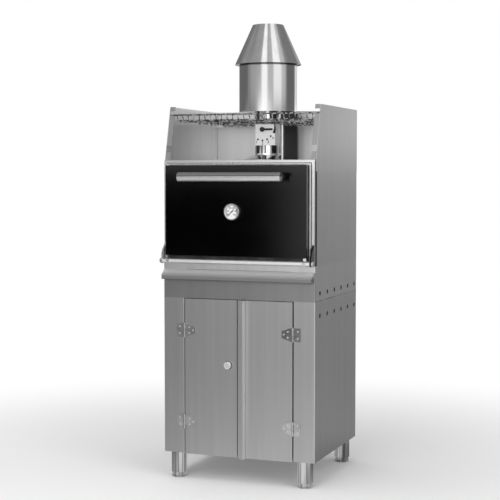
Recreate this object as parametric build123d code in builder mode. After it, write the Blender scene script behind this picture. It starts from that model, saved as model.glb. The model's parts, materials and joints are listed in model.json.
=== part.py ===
from build123d import *
import math
import os

os.makedirs("parts", exist_ok=True)

# Charcoal oven on its cabinet. Millimetres, +Z up, the door faces -Y.
# The origin is on the floor, midway between the widest, frontmost and rearmost points.

# Sheet metal of the casing
WIDTH = 780
DEPTH = 690
SHEET = 2
BEND = 3
REAR_RETURN = 25

# Heights of the storeys, from the floor up
LEG_SHOWN = 129
CABINET_HEIGHT = 766
PLINTH_HEIGHT = 170
CHAMBER_SIDE_HEIGHT = 446
RACK_SIDE_HEIGHT = 318
FRAME_HEIGHT = 500

# Legs
LEG_RADIUS = 38
LEG_WALL = 2
LEG_INSET_X = 60
LEG_INSET_Y = 44
LEG_PLATE_MARGIN = 1
LEG_PLATE_THICK = 4
LEG_PLATE_ROUND = 4
FOOT_SHOWN = 26
FOOT_RADIUS = 34
FOOT_LIP_RADIUS = 37
FOOT_SOLE_RADIUS = 32
FOOT_LIP_LOW = 5
FOOT_LIP_HIGH = 7
FOOT_NECK = 9
FOOT_GAP = 0.2
FOOT_INSERT = 45
FLOOR_RECESS = 30

# Cabinet and its two doors
STILE = 108
STILE_RETURN = 17
DOOR_THICK = 20
DOOR_GAP = 4
DOOR_STOP_GAP = 1
DOOR_DROP = 3
DOOR_INNER_RETURN = 14
SPLIT_X = -3
FLOOR_FLANGE = 25
DECK_FLANGE = 30
POST_WIDTH = 60
POST_WEB = 25
VENT_RADIUS = 11
VENT_COUNT = 6
VENT_FIRST = 76
VENT_PITCH = 115
VENT_BELOW_DECK = 70
VENT_ABOVE_DECK = 37

# Butt hinges of the cabinet doors
STILE_LEAF = 40
DOOR_LEAF = 56
DOOR_LEAF_END = 34
LEAF_ROUND = 5
HINGE_HEIGHT = 66
HINGE_LEAF = 3
KNUCKLE_RADIUS = 6
KNUCKLE_COUNT = 5
KNUCKLE_GAP = 0.5
KNUCKLE_CLEAR = 1
HINGE_PIN_RADIUS = 3
HINGE_UP = 158
RUNNING = 0.05
PIN_HEAD_RADIUS = 4.5
PIN_HEAD = 1.5

# Pull strip of the right door and lock of the left door
PULL_REACH = 35
PULL_X = 38
PULL_LIP = 20
PULL_BASE = 15
LOCK_FROM_EDGE = 45
LOCK_UP = 446
KNOB_RADIUS = 18
KNOB_LENGTH = 17
KNOB_GAP = 0.5
KNOB_ROUND = 4
BARREL_RADIUS = 12
ESCUTCHEON_RADIUS = 20
ESCUTCHEON = 3
ESCUTCHEON_ROUND = 1
LOCK_SHAFT = 6
CAM_LENGTH = 38
CAM_WIDTH = 18
CAM_THICK = 3
CAM_GAP = 1

# Ash drawer and its runners
PAN_IN_FROM_CAVITY = 30
PAN_DEPTH = 520
PAN_HEIGHT = 46
PAN_WALL = 1.5
PAN_UP = 94
RUNNER_LEG = 28
RUNNER_SHELF = 14
RUNNER_SHEET = 2
PAN_SIDE_GAP = 1.5
PAN_REST_GAP = 0.3
PAN_MOUTH_GAP = 1
DRAWER_TOP_DROP = 27
DRAWER_SLOPE = 31
DRAWER_REACH = 41
DRAWER_LIP = 20
DRAWER_HEM = 9
DRAWER_END_GAP = 5
DRAWER_FRONT_GAP = 2

# Oven chamber
SIDE_SETBACK = 16
FRAME_SLIT = 2
FRAME_RIM = 9
FRAME_PLATE = 4
FRAME_TRAY = 24
FRAME_WALL = 3
FRAME_SHOWN = 24
FRAME_SIDE_SHOWN = 26
BEAD_WIDTH = 7
BEAD_PROUD = 8
BEAD_GAP = 2
BEAD_FOOT = 30
BEAD_ROUND = 3
MOUTH_FROM_DOOR = 60
CAVITY_FLOOR_UP = 45
CAVITY_TOP_DROP = 70
CAVITY_DEPTH = 560
FIREBOX_WALL = 5
ASH_HOLE = 400
CHUTE_WALL = 2.5
CHUTE_LENGTH = 60
GRATE_MARGIN = 20
GRATE_THICK = 14
GRATE_SLOT = 14
GRATE_SLOTS = 10
GRATE_ROUND = 14
RAIL_LEG = 20
RAIL_THICK = 2.5
RAIL_LEVELS = (120, 220)
RAIL_START = 30
RAIL_LENGTH = 500
GRILL_ROD = 4
GRILL_RODS = 20
GRILL_CROSS_RODS = 4
GRILL_SIDE_GAP = 6
GRILL_FUSE = 1
GASKET_WIDTH = 12
GASKET_THICK = 2.7
GASKET_INSET = 10

# Oven door
DOOR_FACE = 45
ENAMEL_BOTTOM_UP = 39
ENAMEL_THICK = 23
ENAMEL_SHELL = 3
ENAMEL_ROUND = 4
CARRIER_UP = 23
CARRIER_INSET = 2
CARRIER_WALL = 3
DOOR_BACK_GAP = 3
PLUG_DEPTH = 12
PLUG_GAP = 8
PLUG_ROUND = 4
EYE_WIDTH = 14
EYE_RADIUS = 12
EYE_INSET = 2
EYE_UNDER_ENAMEL = 1
AXLE_RADIUS = 8.5
AXLE_UP = 13
AXLE_REACH = 35
BRACKET_THICK = 8
BRACKET_RADIUS = 14
BRACKET_END = 5
CHEEK_TOP = 87
CHEEK_MID = 55
CHEEK_MID_REACH = 30
CHEEK_LOW = 28
CHEEK_LOW_REACH = 43
NUT_RADIUS = 12.5
NUT_LENGTH = 9
NUT_DOME = 6

# Handle of the oven door
HANDLE_STAND = 73
HANDLE_RADIUS = 22
HANDLE_HALF = 260
HANDLE_WALL = 2
HANDLE_DROP = 56
POST_RADIUS = 15
POST_INSET = 20
POST_SPREAD = HANDLE_HALF - POST_INSET

# Thermometer on the oven door
GAUGE_X = -11
GAUGE_DROP = 222
GAUGE_RADIUS = 40
GAUGE_DEPTH = 15
GAUGE_RIM = 4
GAUGE_BACK = 3
GAUGE_GLASS = 1.5
GAUGE_GLASS_SET = 1.5
DIAL_THICK = 1
STEM_RADIUS = 4
STEM_GAP = 1
STEM_BEYOND = 45
NEEDLE_PIN_RADIUS = 1.5
NEEDLE_LENGTH = 26
NEEDLE_TAIL = 9
NEEDLE_WIDTH = 3
NEEDLE_THICK = 1
NEEDLE_LIFT = 3
NEEDLE_HUB = 4
NEEDLE_REST_ANGLE = 225

# Open bay over the oven and its warming rack
BAY_SLANT_TOP = 82
FLANGE_WIDTH = 28
NOTCH_DEPTH = 24
NOTCH_HEIGHT = 24
NOTCH_UPPER_UP = 219
NOTCH_LOWER_UP = 41
NOTCH_LOWER_HEIGHT = 30
ROD_RADIUS = 4
WIRE_RADIUS = 2.5
WIRE_COUNT = 25
RACK_DROP = 27
RACK_LEAN = 8
RACK_END_GAP = 4
RACK_WIRE_MARGIN = 38
RACK_REAR_GAP = 8
RACK_NECK_GAP = 17
LEDGE_DEPTH = 22
PILLAR_X = 120
PILLAR_Y = 300
PILLAR_RADIUS = 7
PILLAR_FOOT_RADIUS = 15
PILLAR_FOOT = 3

# Flue, spark arrester and hat
FLUE_Y = 420
FLUE_WALL = 2
NECK_RADIUS = 65
NECK_IN_PIPE = 18
COLLAR_RADIUS = 136
COLLAR_HEIGHT = 38
COLLAR_RIM = 6
COLLAR_TUBE = 6
PIPE_RADIUS = 146
PIPE_BASE_DROP = 17
PIPE_HEIGHT = 263
BAFFLE_RADIUS = 105
BAFFLE_RISE = 50
BAFFLE_UP = 145
BAFFLE_ARM_WIDTH = 20
BAFFLE_ARM_THICK = 3
BAFFLE_ARMS = 3
HAT_RIM_RADIUS = 168
HAT_TOP_RADIUS = 78
HAT_HEIGHT = 200
HAT_OVERLAP = 25
HAT_BRACKETS = 4
HAT_BRACKET_START = 45
HAT_BRACKET_ANGLE = 9
HAT_BRACKET_HEIGHT = 16
HAT_BRACKET_UP = 3

# Damper in the neck of the flue
DAMPER_UP = 158
DAMPER_GAP = 4
DAMPER_THICK = 3
DAMPER_SHAFT = 5
DAMPER_SHAFT_BACK = 12
SCALE_Y = 340
SCALE_LEFT = -38
SCALE_RIGHT = 68
SCALE_BELOW = 80
SCALE_ABOVE = 26
SCALE_FLANGE = 58
BUSH_RADIUS = 10
LEVER_GAP = 1
LEVER_THICK = 3
LEVER_LENGTH = 55
LEVER_WIDTH = 10
LEVER_HUB = 12
LEVER_HUB_LENGTH = 8

# Planes and edges that the pieces share
HALF_SHEET = SHEET / 2
REACH = DOOR_FACE + HANDLE_STAND + HANDLE_RADIUS
Y_FRONT = (REACH - DEPTH) / 2
Y_BACK = Y_FRONT + DEPTH
Y_BACK_SHEET = Y_BACK - 2 * SHEET
Y_STOP = Y_FRONT + DOOR_THICK + DOOR_STOP_GAP
Y_CHAMBER = Y_FRONT + FRAME_TRAY
Y_SIDE = Y_FRONT + SIDE_SETBACK
X_SIDE = WIDTH / 2
X_IN = X_SIDE - SHEET
X_STILE = X_SIDE - STILE
X_FRAME = X_IN - FRAME_SLIT
X_TRAY = X_FRAME - FRAME_RIM
X_DOOR = X_FRAME - FRAME_SIDE_SHOWN
X_MOUTH = X_DOOR - MOUTH_FROM_DOOR
X_PAN = X_MOUTH - PAN_IN_FROM_CAVITY
Z_CABINET = LEG_SHOWN
Z_FLOOR = Z_CABINET + FLOOR_RECESS + SHEET
Z_DECK = Z_CABINET + CABINET_HEIGHT
Z_CHAMBER = Z_DECK + PLINTH_HEIGHT
Z_SEAM = Z_CHAMBER + CHAMBER_SIDE_HEIGHT
Z_OVEN_TOP = Z_CHAMBER + FRAME_HEIGHT
Z_TOP = Z_SEAM + RACK_SIDE_HEIGHT
Z_PAN = Z_DECK + PAN_UP
Z_CAVITY = Z_CHAMBER + CAVITY_FLOOR_UP
Z_CEILING = Z_OVEN_TOP - CAVITY_TOP_DROP
Z_AXLE = Z_CHAMBER + AXLE_UP
Y_AXLE = Y_FRONT - AXLE_REACH
Y_ENAMEL = Y_FRONT - DOOR_FACE
Y_CARRIER = Y_ENAMEL + ENAMEL_THICK
Y_DOOR_BACK = Y_FRONT - DOOR_BACK_GAP
Z_ENAMEL = Z_CHAMBER + ENAMEL_BOTTOM_UP
Z_DOOR_TOP = Z_OVEN_TOP - FRAME_SHOWN
Y_FLUE = Y_FRONT + FLUE_Y
Z_DAMPER = Z_OVEN_TOP + DAMPER_UP
Z_PIPE = Z_TOP - PIPE_BASE_DROP
Z_PIPE_TOP = Z_PIPE + PIPE_HEIGHT
Z_HAT = Z_PIPE_TOP - HAT_OVERLAP
HINGE_X = X_STILE - DOOR_GAP / 2
HINGE_Y = Y_FRONT - KNUCKLE_RADIUS
X_DOOR_EDGE = X_STILE - DOOR_GAP
Z_DOORS = Z_CABINET - DOOR_DROP
Z_DOORS_TOP = Z_DECK - DOOR_DROP


def at_x(x):
    """Plane square to X, drawn in (y, z) and extruding towards +X."""
    return Plane((x, 0, 0), x_dir=(0, 1, 0), z_dir=(1, 0, 0))


def at_y(y):
    """Plane square to Y, drawn in (x, z) and extruding towards the front."""
    return Plane((0, y, 0), x_dir=(1, 0, 0), z_dir=(0, -1, 0))


def at_z(z):
    """Plane square to Z, drawn in (x, y) and extruding upwards."""
    return Plane.XY.offset(z)


def area(low, high, other_low, other_high, mode=Mode.ADD):
    """Adds the rectangle between two corners to the sketch being drawn."""
    with Locations(((low + high) / 2, (other_low + other_high) / 2)):
        Rectangle(high - low, other_high - other_low, mode=mode)


def folded(plane, path, sheet=SHEET):
    """Section of a sheet folded along path, which is its middle, as a sketch on plane."""
    with BuildSketch(plane) as section:
        with BuildLine():
            FilletPolyline(*path, radius=BEND)
        trace(line_width=sheet)
    return section.sketch


def finish(piece, name):
    """Names a finished piece and writes it."""
    piece.part.label = name
    export_step(piece.part, f"parts/{name}.step")


# Legs: tubes on plates under the cabinet floor, each with a screw-in foot

LEG_SPOTS = [
    (x, y)
    for x in (LEG_INSET_X - X_SIDE, X_SIDE - LEG_INSET_X)
    for y in (Y_FRONT + LEG_INSET_Y, Y_BACK - LEG_INSET_Y)
]
Z_LEG_TOP = Z_FLOOR - SHEET

PLATE_SIDE = 2 * (LEG_RADIUS + LEG_PLATE_MARGIN)

with BuildPart() as leg_tubes:
    with BuildSketch(at_z(FOOT_SHOWN)):
        with Locations(*LEG_SPOTS):
            Circle(LEG_RADIUS)
            Circle(LEG_RADIUS - LEG_WALL, mode=Mode.SUBTRACT)
    extrude(amount=Z_LEG_TOP - FOOT_SHOWN)
    with BuildSketch(at_z(Z_LEG_TOP - LEG_PLATE_THICK)):
        with Locations(*LEG_SPOTS):
            RectangleRounded(PLATE_SIDE, PLATE_SIDE, LEG_PLATE_ROUND)
    extrude(amount=LEG_PLATE_THICK)
finish(leg_tubes, "leg_tubes")

with BuildPart() as leg_feet:
    for x, y in LEG_SPOTS:
        with BuildSketch(Plane((x, y, 0), x_dir=(1, 0, 0), z_dir=(0, -1, 0))):
            with BuildLine():
                Polyline(
                    (0, 0),
                    (FOOT_SOLE_RADIUS, 0),
                    (FOOT_LIP_RADIUS, FOOT_LIP_LOW),
                    (FOOT_LIP_RADIUS, FOOT_LIP_HIGH),
                    (FOOT_RADIUS, FOOT_NECK),
                    (FOOT_RADIUS, FOOT_SHOWN),
                    (LEG_RADIUS - LEG_WALL - FOOT_GAP, FOOT_SHOWN),
                    (LEG_RADIUS - LEG_WALL - FOOT_GAP, FOOT_SHOWN + FOOT_INSERT),
                    (0, FOOT_SHOWN + FOOT_INSERT),
                    close=True,
                )
            make_face()
        revolve(axis=Axis((x, y, 0), (0, 0, 1)))
finish(leg_feet, "leg_feet")

# Cabinet under the oven

VENTS = [Y_FRONT + VENT_FIRST + VENT_PITCH * n for n in range(VENT_COUNT)]


def vents(side, z):
    """Cuts the row of round vents through one side sheet."""
    with BuildSketch(at_x(side * X_SIDE - SHEET)) as row:
        with Locations(*[(y, z) for y in VENTS]):
            Circle(VENT_RADIUS)
    extrude(row.sketch, amount=2 * SHEET, mode=Mode.SUBTRACT)


def cabinet_side(side):
    """Adds one side of the cabinet: stile with its return, side sheet and rear return."""
    path = [
        (side * (X_STILE + HALF_SHEET), Y_FRONT + STILE_RETURN),
        (side * (X_STILE + HALF_SHEET), Y_FRONT + HALF_SHEET),
        (side * (X_SIDE - HALF_SHEET), Y_FRONT + HALF_SHEET),
        (side * (X_SIDE - HALF_SHEET), Y_BACK - HALF_SHEET),
        (side * (X_SIDE - REAR_RETURN), Y_BACK - HALF_SHEET),
    ]
    extrude(folded(at_z(Z_CABINET), path), amount=CABINET_HEIGHT)
    vents(side, Z_DECK - VENT_BELOW_DECK)


with BuildPart() as cabinet_side_left:
    cabinet_side(-1)
finish(cabinet_side_left, "cabinet_side_left")

with BuildPart() as cabinet_side_right:
    cabinet_side(1)
finish(cabinet_side_right, "cabinet_side_right")

with BuildPart() as cabinet_floor:
    floor_path = [
        (Y_STOP + HALF_SHEET, Z_FLOOR - FLOOR_FLANGE),
        (Y_STOP + HALF_SHEET, Z_FLOOR - HALF_SHEET),
        (Y_BACK_SHEET, Z_FLOOR - HALF_SHEET),
    ]
    extrude(folded(at_x(-X_IN), floor_path), amount=2 * X_IN)
    with BuildSketch(at_z(Z_FLOOR - FLOOR_FLANGE)):
        with Locations(*LEG_SPOTS):
            Rectangle(PLATE_SIDE + 2 * SHEET, PLATE_SIDE + 2 * SHEET)
    extrude(amount=FLOOR_FLANGE - SHEET, mode=Mode.SUBTRACT)
finish(cabinet_floor, "cabinet_floor")

with BuildPart() as cabinet_deck:
    deck_path = [
        (Y_STOP + HALF_SHEET, Z_DECK - DECK_FLANGE),
        (Y_STOP + HALF_SHEET, Z_DECK - HALF_SHEET),
        (Y_BACK_SHEET, Z_DECK - HALF_SHEET),
    ]
    extrude(folded(at_x(-X_IN), deck_path), amount=2 * X_IN)
finish(cabinet_deck, "cabinet_deck")

with BuildPart() as cabinet_back:
    with BuildSketch(at_y(Y_BACK - SHEET)):
        area(BEND - X_IN, X_IN - BEND, Z_FLOOR - FLOOR_FLANGE, Z_DECK)
    extrude(amount=SHEET)
finish(cabinet_back, "cabinet_back")

with BuildPart() as centre_post:
    post_path = [
        (-POST_WIDTH / 2, Y_STOP + HALF_SHEET),
        (POST_WIDTH / 2, Y_STOP + HALF_SHEET),
        (POST_WIDTH / 2, Y_STOP + POST_WEB),
    ]
    extrude(folded(at_z(Z_FLOOR), post_path), amount=Z_DECK - DECK_FLANGE - Z_FLOOR)
finish(centre_post, "centre_post")

# Cabinet doors: trays folded from one sheet, open to the inside


def cabinet_door(left, right):
    """Adds a door between two edges: front sheet, edges folded back, and edges folded in."""
    height = (Z_DOORS, Z_DOORS_TOP)
    with BuildSketch(at_y(Y_FRONT + DOOR_THICK)) as outline:
        area(left, right, *height)
    extrude(outline.sketch, amount=DOOR_THICK)
    with BuildSketch(at_y(Y_FRONT + DOOR_THICK - SHEET)) as hollow:
        area(left + SHEET, right - SHEET, height[0] + SHEET, height[1] - SHEET)
    extrude(hollow.sketch, amount=DOOR_THICK - 2 * SHEET, mode=Mode.SUBTRACT)
    inset = SHEET + DOOR_INNER_RETURN
    with BuildSketch(at_y(Y_FRONT + DOOR_THICK)) as mouth:
        area(left + inset, right - inset, height[0] + inset, height[1] - inset)
    extrude(mouth.sketch, amount=SHEET, mode=Mode.SUBTRACT)


LEFT_DOOR_EDGE = SPLIT_X - DOOR_GAP / 2
RIGHT_DOOR_EDGE = SPLIT_X + DOOR_GAP / 2
LOCK_X = LEFT_DOOR_EDGE - LOCK_FROM_EDGE
LOCK_Z = Z_CABINET + LOCK_UP

with BuildPart() as left_door_panel:
    cabinet_door(-X_DOOR_EDGE, LEFT_DOOR_EDGE)
    with BuildSketch(at_y(Y_FRONT + SHEET)):
        with Locations((LOCK_X, LOCK_Z)):
            Circle(BARREL_RADIUS)
    extrude(amount=SHEET, mode=Mode.SUBTRACT)
finish(left_door_panel, "left_door_panel")

with BuildPart() as right_door_panel:
    cabinet_door(RIGHT_DOOR_EDGE, X_DOOR_EDGE)
finish(right_door_panel, "right_door_panel")

with BuildPart() as door_pull:
    pull_path = [
        (PULL_X - PULL_BASE, Y_FRONT - HALF_SHEET),
        (PULL_X, Y_FRONT - HALF_SHEET),
        (PULL_X, Y_FRONT - PULL_REACH + HALF_SHEET),
        (PULL_X - PULL_LIP, Y_FRONT - PULL_REACH + HALF_SHEET),
    ]
    extrude(folded(at_z(Z_DOORS), pull_path), amount=Z_DOORS_TOP - Z_DOORS)
finish(door_pull, "door_pull")

# Butt hinges: leaves on the stiles and on the doors, with shared pins

HINGE_LEVELS = (Z_CABINET + HINGE_UP, Z_DECK - HINGE_UP)
KNUCKLE_PITCH = HINGE_HEIGHT / KNUCKLE_COUNT


def hinge_leaf(x, away, level, knuckles, reach, end):
    """Adds one leaf at height level; away is the side it lies on, knuckles its own rungs."""
    bottom = level - HINGE_HEIGHT / 2
    top = level + HINGE_HEIGHT / 2
    cleared = x + away * (KNUCKLE_RADIUS + KNUCKLE_CLEAR)
    leaf_end = x + away * reach
    corners = [
        (cleared, bottom),
        (leaf_end, level - end / 2),
        (leaf_end, level + end / 2),
        (cleared, top),
    ]
    with BuildSketch(at_y(Y_FRONT)) as leaf:
        with BuildLine():
            Polyline(*corners, close=True)
        make_face()
        fillet(leaf.vertices().sort_by(Axis.X)[:: away][-2:], radius=LEAF_ROUND)
        for rung in knuckles:
            low = bottom + rung * KNUCKLE_PITCH + KNUCKLE_GAP / 2
            area(min(x, cleared), max(x, cleared), low, low + KNUCKLE_PITCH - KNUCKLE_GAP)
    extrude(leaf.sketch, amount=HINGE_LEAF)
    for rung in knuckles:
        low = bottom + rung * KNUCKLE_PITCH + KNUCKLE_GAP / 2
        with BuildSketch(at_z(low)) as knuckle:
            with Locations((x, HINGE_Y)):
                Circle(KNUCKLE_RADIUS)
        extrude(knuckle.sketch, amount=KNUCKLE_PITCH - KNUCKLE_GAP)
    with BuildSketch(at_z(bottom)) as bore:
        with Locations((x, HINGE_Y)):
            Circle(HINGE_PIN_RADIUS + RUNNING)
    extrude(bore.sketch, amount=HINGE_HEIGHT, mode=Mode.SUBTRACT)


with BuildPart() as hinge_frame_leaves:
    for side in (-1, 1):
        for level in HINGE_LEVELS:
            hinge_leaf(side * HINGE_X, side, level, (0, 2, 4), STILE_LEAF, HINGE_HEIGHT)
finish(hinge_frame_leaves, "hinge_frame_leaves")

with BuildPart() as left_hinge_leaves:
    for level in HINGE_LEVELS:
        hinge_leaf(-HINGE_X, 1, level, (1, 3), DOOR_LEAF, DOOR_LEAF_END)
finish(left_hinge_leaves, "left_hinge_leaves")

with BuildPart() as right_hinge_leaves:
    for level in HINGE_LEVELS:
        hinge_leaf(HINGE_X, -1, level, (1, 3), DOOR_LEAF, DOOR_LEAF_END)
finish(right_hinge_leaves, "right_hinge_leaves")

with BuildPart() as hinge_pins:
    for level in HINGE_LEVELS:
        bottom = level - HINGE_HEIGHT / 2
        with BuildSketch(at_z(bottom)):
            with Locations((-HINGE_X, HINGE_Y), (HINGE_X, HINGE_Y)):
                Circle(HINGE_PIN_RADIUS)
        extrude(amount=HINGE_HEIGHT)
        for head in (bottom - PIN_HEAD, bottom + HINGE_HEIGHT):
            with BuildSketch(at_z(head)):
                with Locations((-HINGE_X, HINGE_Y), (HINGE_X, HINGE_Y)):
                    Circle(PIN_HEAD_RADIUS)
            extrude(amount=PIN_HEAD)
finish(hinge_pins, "hinge_pins")

# Lock of the left door: fixed barrel, turning knob with its shaft and cam

Y_CAM = Y_FRONT + DOOR_THICK + DOOR_STOP_GAP + SHEET + CAM_GAP

with BuildPart() as lock_barrel:
    with BuildSketch(at_y(Y_FRONT)):
        with Locations((LOCK_X, LOCK_Z)):
            Circle(ESCUTCHEON_RADIUS)
    extrude(amount=ESCUTCHEON)
    with BuildSketch(at_y(Y_FRONT + DOOR_THICK)):
        with Locations((LOCK_X, LOCK_Z)):
            Circle(BARREL_RADIUS)
    extrude(amount=DOOR_THICK)
    with BuildSketch(at_y(Y_FRONT + DOOR_THICK)):
        with Locations((LOCK_X, LOCK_Z)):
            Circle(LOCK_SHAFT + RUNNING)
    extrude(amount=DOOR_THICK + ESCUTCHEON, mode=Mode.SUBTRACT)
    fillet(lock_barrel.faces().sort_by(Axis.Y)[0].outer_wire().edges(), radius=ESCUTCHEON_ROUND)
finish(lock_barrel, "lock_barrel")

with BuildPart() as lock_knob:
    knob_back = Y_FRONT - ESCUTCHEON - KNOB_GAP
    with BuildSketch(at_y(knob_back)):
        with Locations((LOCK_X, LOCK_Z)):
            Circle(KNOB_RADIUS)
    extrude(amount=KNOB_LENGTH)
    fillet(lock_knob.faces().sort_by(Axis.Y)[0].edges(), radius=KNOB_ROUND)
    with BuildSketch(at_y(Y_CAM + CAM_THICK)):
        with Locations((LOCK_X, LOCK_Z)):
            Circle(LOCK_SHAFT)
    extrude(amount=Y_CAM + CAM_THICK - knob_back)
    with BuildSketch(at_y(Y_CAM + CAM_THICK)):
        with Locations((LOCK_X, LOCK_Z - CAM_LENGTH / 2)):
            SlotCenterToCenter(CAM_LENGTH - CAM_WIDTH / 2, CAM_WIDTH, rotation=90)
    extrude(amount=CAM_THICK)
finish(lock_knob, "lock_knob")

# Plinth with the ash drawer

X_DRAWER = X_SIDE - DRAWER_END_GAP

with BuildPart() as plinth:
    plinth_path = [
        (REAR_RETURN - X_SIDE, Y_BACK - HALF_SHEET),
        (HALF_SHEET - X_SIDE, Y_BACK - HALF_SHEET),
        (HALF_SHEET - X_SIDE, Y_FRONT + HALF_SHEET),
        (X_SIDE - HALF_SHEET, Y_FRONT + HALF_SHEET),
        (X_SIDE - HALF_SHEET, Y_BACK - HALF_SHEET),
        (X_SIDE - REAR_RETURN, Y_BACK - HALF_SHEET),
    ]
    extrude(folded(at_z(Z_DECK), plinth_path), amount=PLINTH_HEIGHT)
    with BuildSketch(at_y(Y_FRONT + SHEET)):
        area(
            -X_PAN - PAN_MOUTH_GAP,
            X_PAN + PAN_MOUTH_GAP,
            Z_PAN - PAN_MOUTH_GAP,
            Z_PAN + PAN_HEIGHT + PAN_MOUTH_GAP,
        )
    extrude(amount=SHEET, mode=Mode.SUBTRACT)
    for side in (-1, 1):
        vents(side, Z_DECK + VENT_ABOVE_DECK)
finish(plinth, "plinth")

with BuildPart() as drawer_runners:
    for side in (-1, 1):
        outer = side * (X_PAN + PAN_SIDE_GAP + RUNNER_SHEET / 2)
        shelf = Z_PAN - PAN_REST_GAP - RUNNER_SHEET / 2
        runner_path = [
            (outer, shelf - RUNNER_LEG),
            (outer, shelf),
            (outer - side * RUNNER_SHELF, shelf),
        ]
        section = folded(at_y(Y_BACK_SHEET), runner_path, RUNNER_SHEET)
        extrude(section, amount=Y_BACK_SHEET - Y_FRONT - SHEET)
finish(drawer_runners, "drawer_runners")

with BuildPart() as ash_drawer_pan:
    pan_front = Y_FRONT - DRAWER_FRONT_GAP
    with BuildSketch(at_z(Z_PAN)):
        area(-X_PAN, X_PAN, pan_front, pan_front + PAN_DEPTH)
    extrude(amount=PAN_HEIGHT)
    with BuildSketch(at_z(Z_PAN + PAN_WALL)):
        area(
            PAN_WALL - X_PAN,
            X_PAN - PAN_WALL,
            pan_front + PAN_WALL,
            pan_front + PAN_DEPTH - PAN_WALL,
        )
    extrude(amount=PAN_HEIGHT, mode=Mode.SUBTRACT)
finish(ash_drawer_pan, "ash_drawer_pan")

Z_DRAWER_TOP = Z_CHAMBER - DRAWER_TOP_DROP
Z_LIP = Z_DRAWER_TOP - DRAWER_SLOPE
Y_DRAWER = Y_FRONT - DRAWER_FRONT_GAP - HALF_SHEET

with BuildPart() as ash_drawer_front:
    drawer_path = [
        (Y_DRAWER, Z_PAN + HALF_SHEET),
        (Y_DRAWER, Z_DRAWER_TOP),
        (Y_FRONT - DRAWER_REACH + HALF_SHEET, Z_LIP),
        (Y_FRONT - DRAWER_REACH + HALF_SHEET, Z_LIP - DRAWER_LIP + HALF_SHEET),
        (Y_FRONT - DRAWER_REACH + DRAWER_HEM, Z_LIP - DRAWER_LIP + HALF_SHEET),
    ]
    extrude(folded(at_x(-X_DRAWER), drawer_path), amount=2 * X_DRAWER)
finish(ash_drawer_front, "ash_drawer_front")

# Oven casing

with BuildPart() as chamber_floor:
    with BuildSketch(at_z(Z_CHAMBER)):
        area(-X_IN, X_IN, Y_CHAMBER, Y_BACK_SHEET)
        with Locations((0, Y_FRONT + CAVITY_DEPTH / 2)):
            Rectangle(ASH_HOLE + 2 * CHUTE_WALL, ASH_HOLE + 2 * CHUTE_WALL, mode=Mode.SUBTRACT)
    extrude(amount=SHEET)
finish(chamber_floor, "chamber_floor")


def chamber_side(side):
    """Adds the sheet beside the oven chamber, with its rear return."""
    path = [
        (side * (X_SIDE - HALF_SHEET), Y_SIDE),
        (side * (X_SIDE - HALF_SHEET), Y_BACK - HALF_SHEET),
        (side * (X_SIDE - REAR_RETURN), Y_BACK - HALF_SHEET),
    ]
    extrude(folded(at_z(Z_CHAMBER), path), amount=CHAMBER_SIDE_HEIGHT)


with BuildPart() as oven_side_left:
    chamber_side(-1)
finish(oven_side_left, "oven_side_left")

with BuildPart() as oven_side_right:
    chamber_side(1)
finish(oven_side_right, "oven_side_right")

with BuildPart() as oven_top:
    with BuildSketch(at_z(Z_OVEN_TOP - SHEET)):
        area(-X_IN, X_IN, Y_CHAMBER, Y_BACK_SHEET)
        with Locations((0, Y_FLUE)):
            Circle(NECK_RADIUS, mode=Mode.SUBTRACT)
    extrude(amount=SHEET)
finish(oven_top, "oven_top")

with BuildPart() as front_frame:
    with BuildSketch(at_y(Y_CHAMBER)):
        area(-X_TRAY, X_TRAY, Z_CHAMBER, Z_OVEN_TOP)
    extrude(amount=FRAME_TRAY)
    with BuildSketch(at_y(Y_FRONT + FRAME_PLATE)):
        area(-X_FRAME, X_FRAME, Z_CHAMBER, Z_OVEN_TOP)
    extrude(amount=FRAME_PLATE)
    with BuildSketch(at_y(Y_CHAMBER)):
        area(
            FRAME_WALL - X_TRAY,
            X_TRAY - FRAME_WALL,
            Z_CHAMBER + FRAME_WALL,
            Z_OVEN_TOP - FRAME_WALL,
        )
    extrude(amount=FRAME_TRAY - FRAME_PLATE, mode=Mode.SUBTRACT)
    with BuildSketch(at_y(Y_CHAMBER)):
        area(-X_MOUTH, X_MOUTH, Z_CAVITY, Z_CEILING)
    extrude(amount=FRAME_TRAY, mode=Mode.SUBTRACT)
    bead_in = X_DOOR + BEAD_GAP
    bead_top = Z_DOOR_TOP + BEAD_GAP
    bead_foot = Z_CHAMBER + BEAD_FOOT
    with BuildSketch(at_y(Y_FRONT)):
        area(-bead_in - BEAD_WIDTH, bead_in + BEAD_WIDTH, bead_foot, bead_top + BEAD_WIDTH)
        area(-bead_in, bead_in, bead_foot, bead_top, mode=Mode.SUBTRACT)
    extrude(amount=BEAD_PROUD)
    fillet(front_frame.faces().sort_by(Axis.Y)[0].edges(), radius=BEAD_ROUND)
finish(front_frame, "front_frame")

with BuildPart() as door_gasket:
    gasket_x = X_MOUTH + GASKET_INSET
    gasket_low = Z_CAVITY - GASKET_INSET
    gasket_high = Z_CEILING + GASKET_INSET
    with BuildSketch(at_y(Y_FRONT)):
        area(
            -gasket_x - GASKET_WIDTH,
            gasket_x + GASKET_WIDTH,
            gasket_low - GASKET_WIDTH,
            gasket_high + GASKET_WIDTH,
        )
        area(-gasket_x, gasket_x, gasket_low, gasket_high, mode=Mode.SUBTRACT)
    extrude(amount=GASKET_THICK)
finish(door_gasket, "door_gasket")

# Firebox with its chute, insulation, grate, rails and grill

Y_FIREBOX = Y_FRONT + FRAME_PLATE
Y_FIREBOX_BACK = Y_FIREBOX + CAVITY_DEPTH + FIREBOX_WALL
X_FIREBOX = X_MOUTH + FIREBOX_WALL
Z_FIREBOX = Z_CAVITY - FIREBOX_WALL
Z_FIREBOX_TOP = Z_CEILING + FIREBOX_WALL
ASH_SPOT = (0, Y_FRONT + CAVITY_DEPTH / 2)

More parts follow.
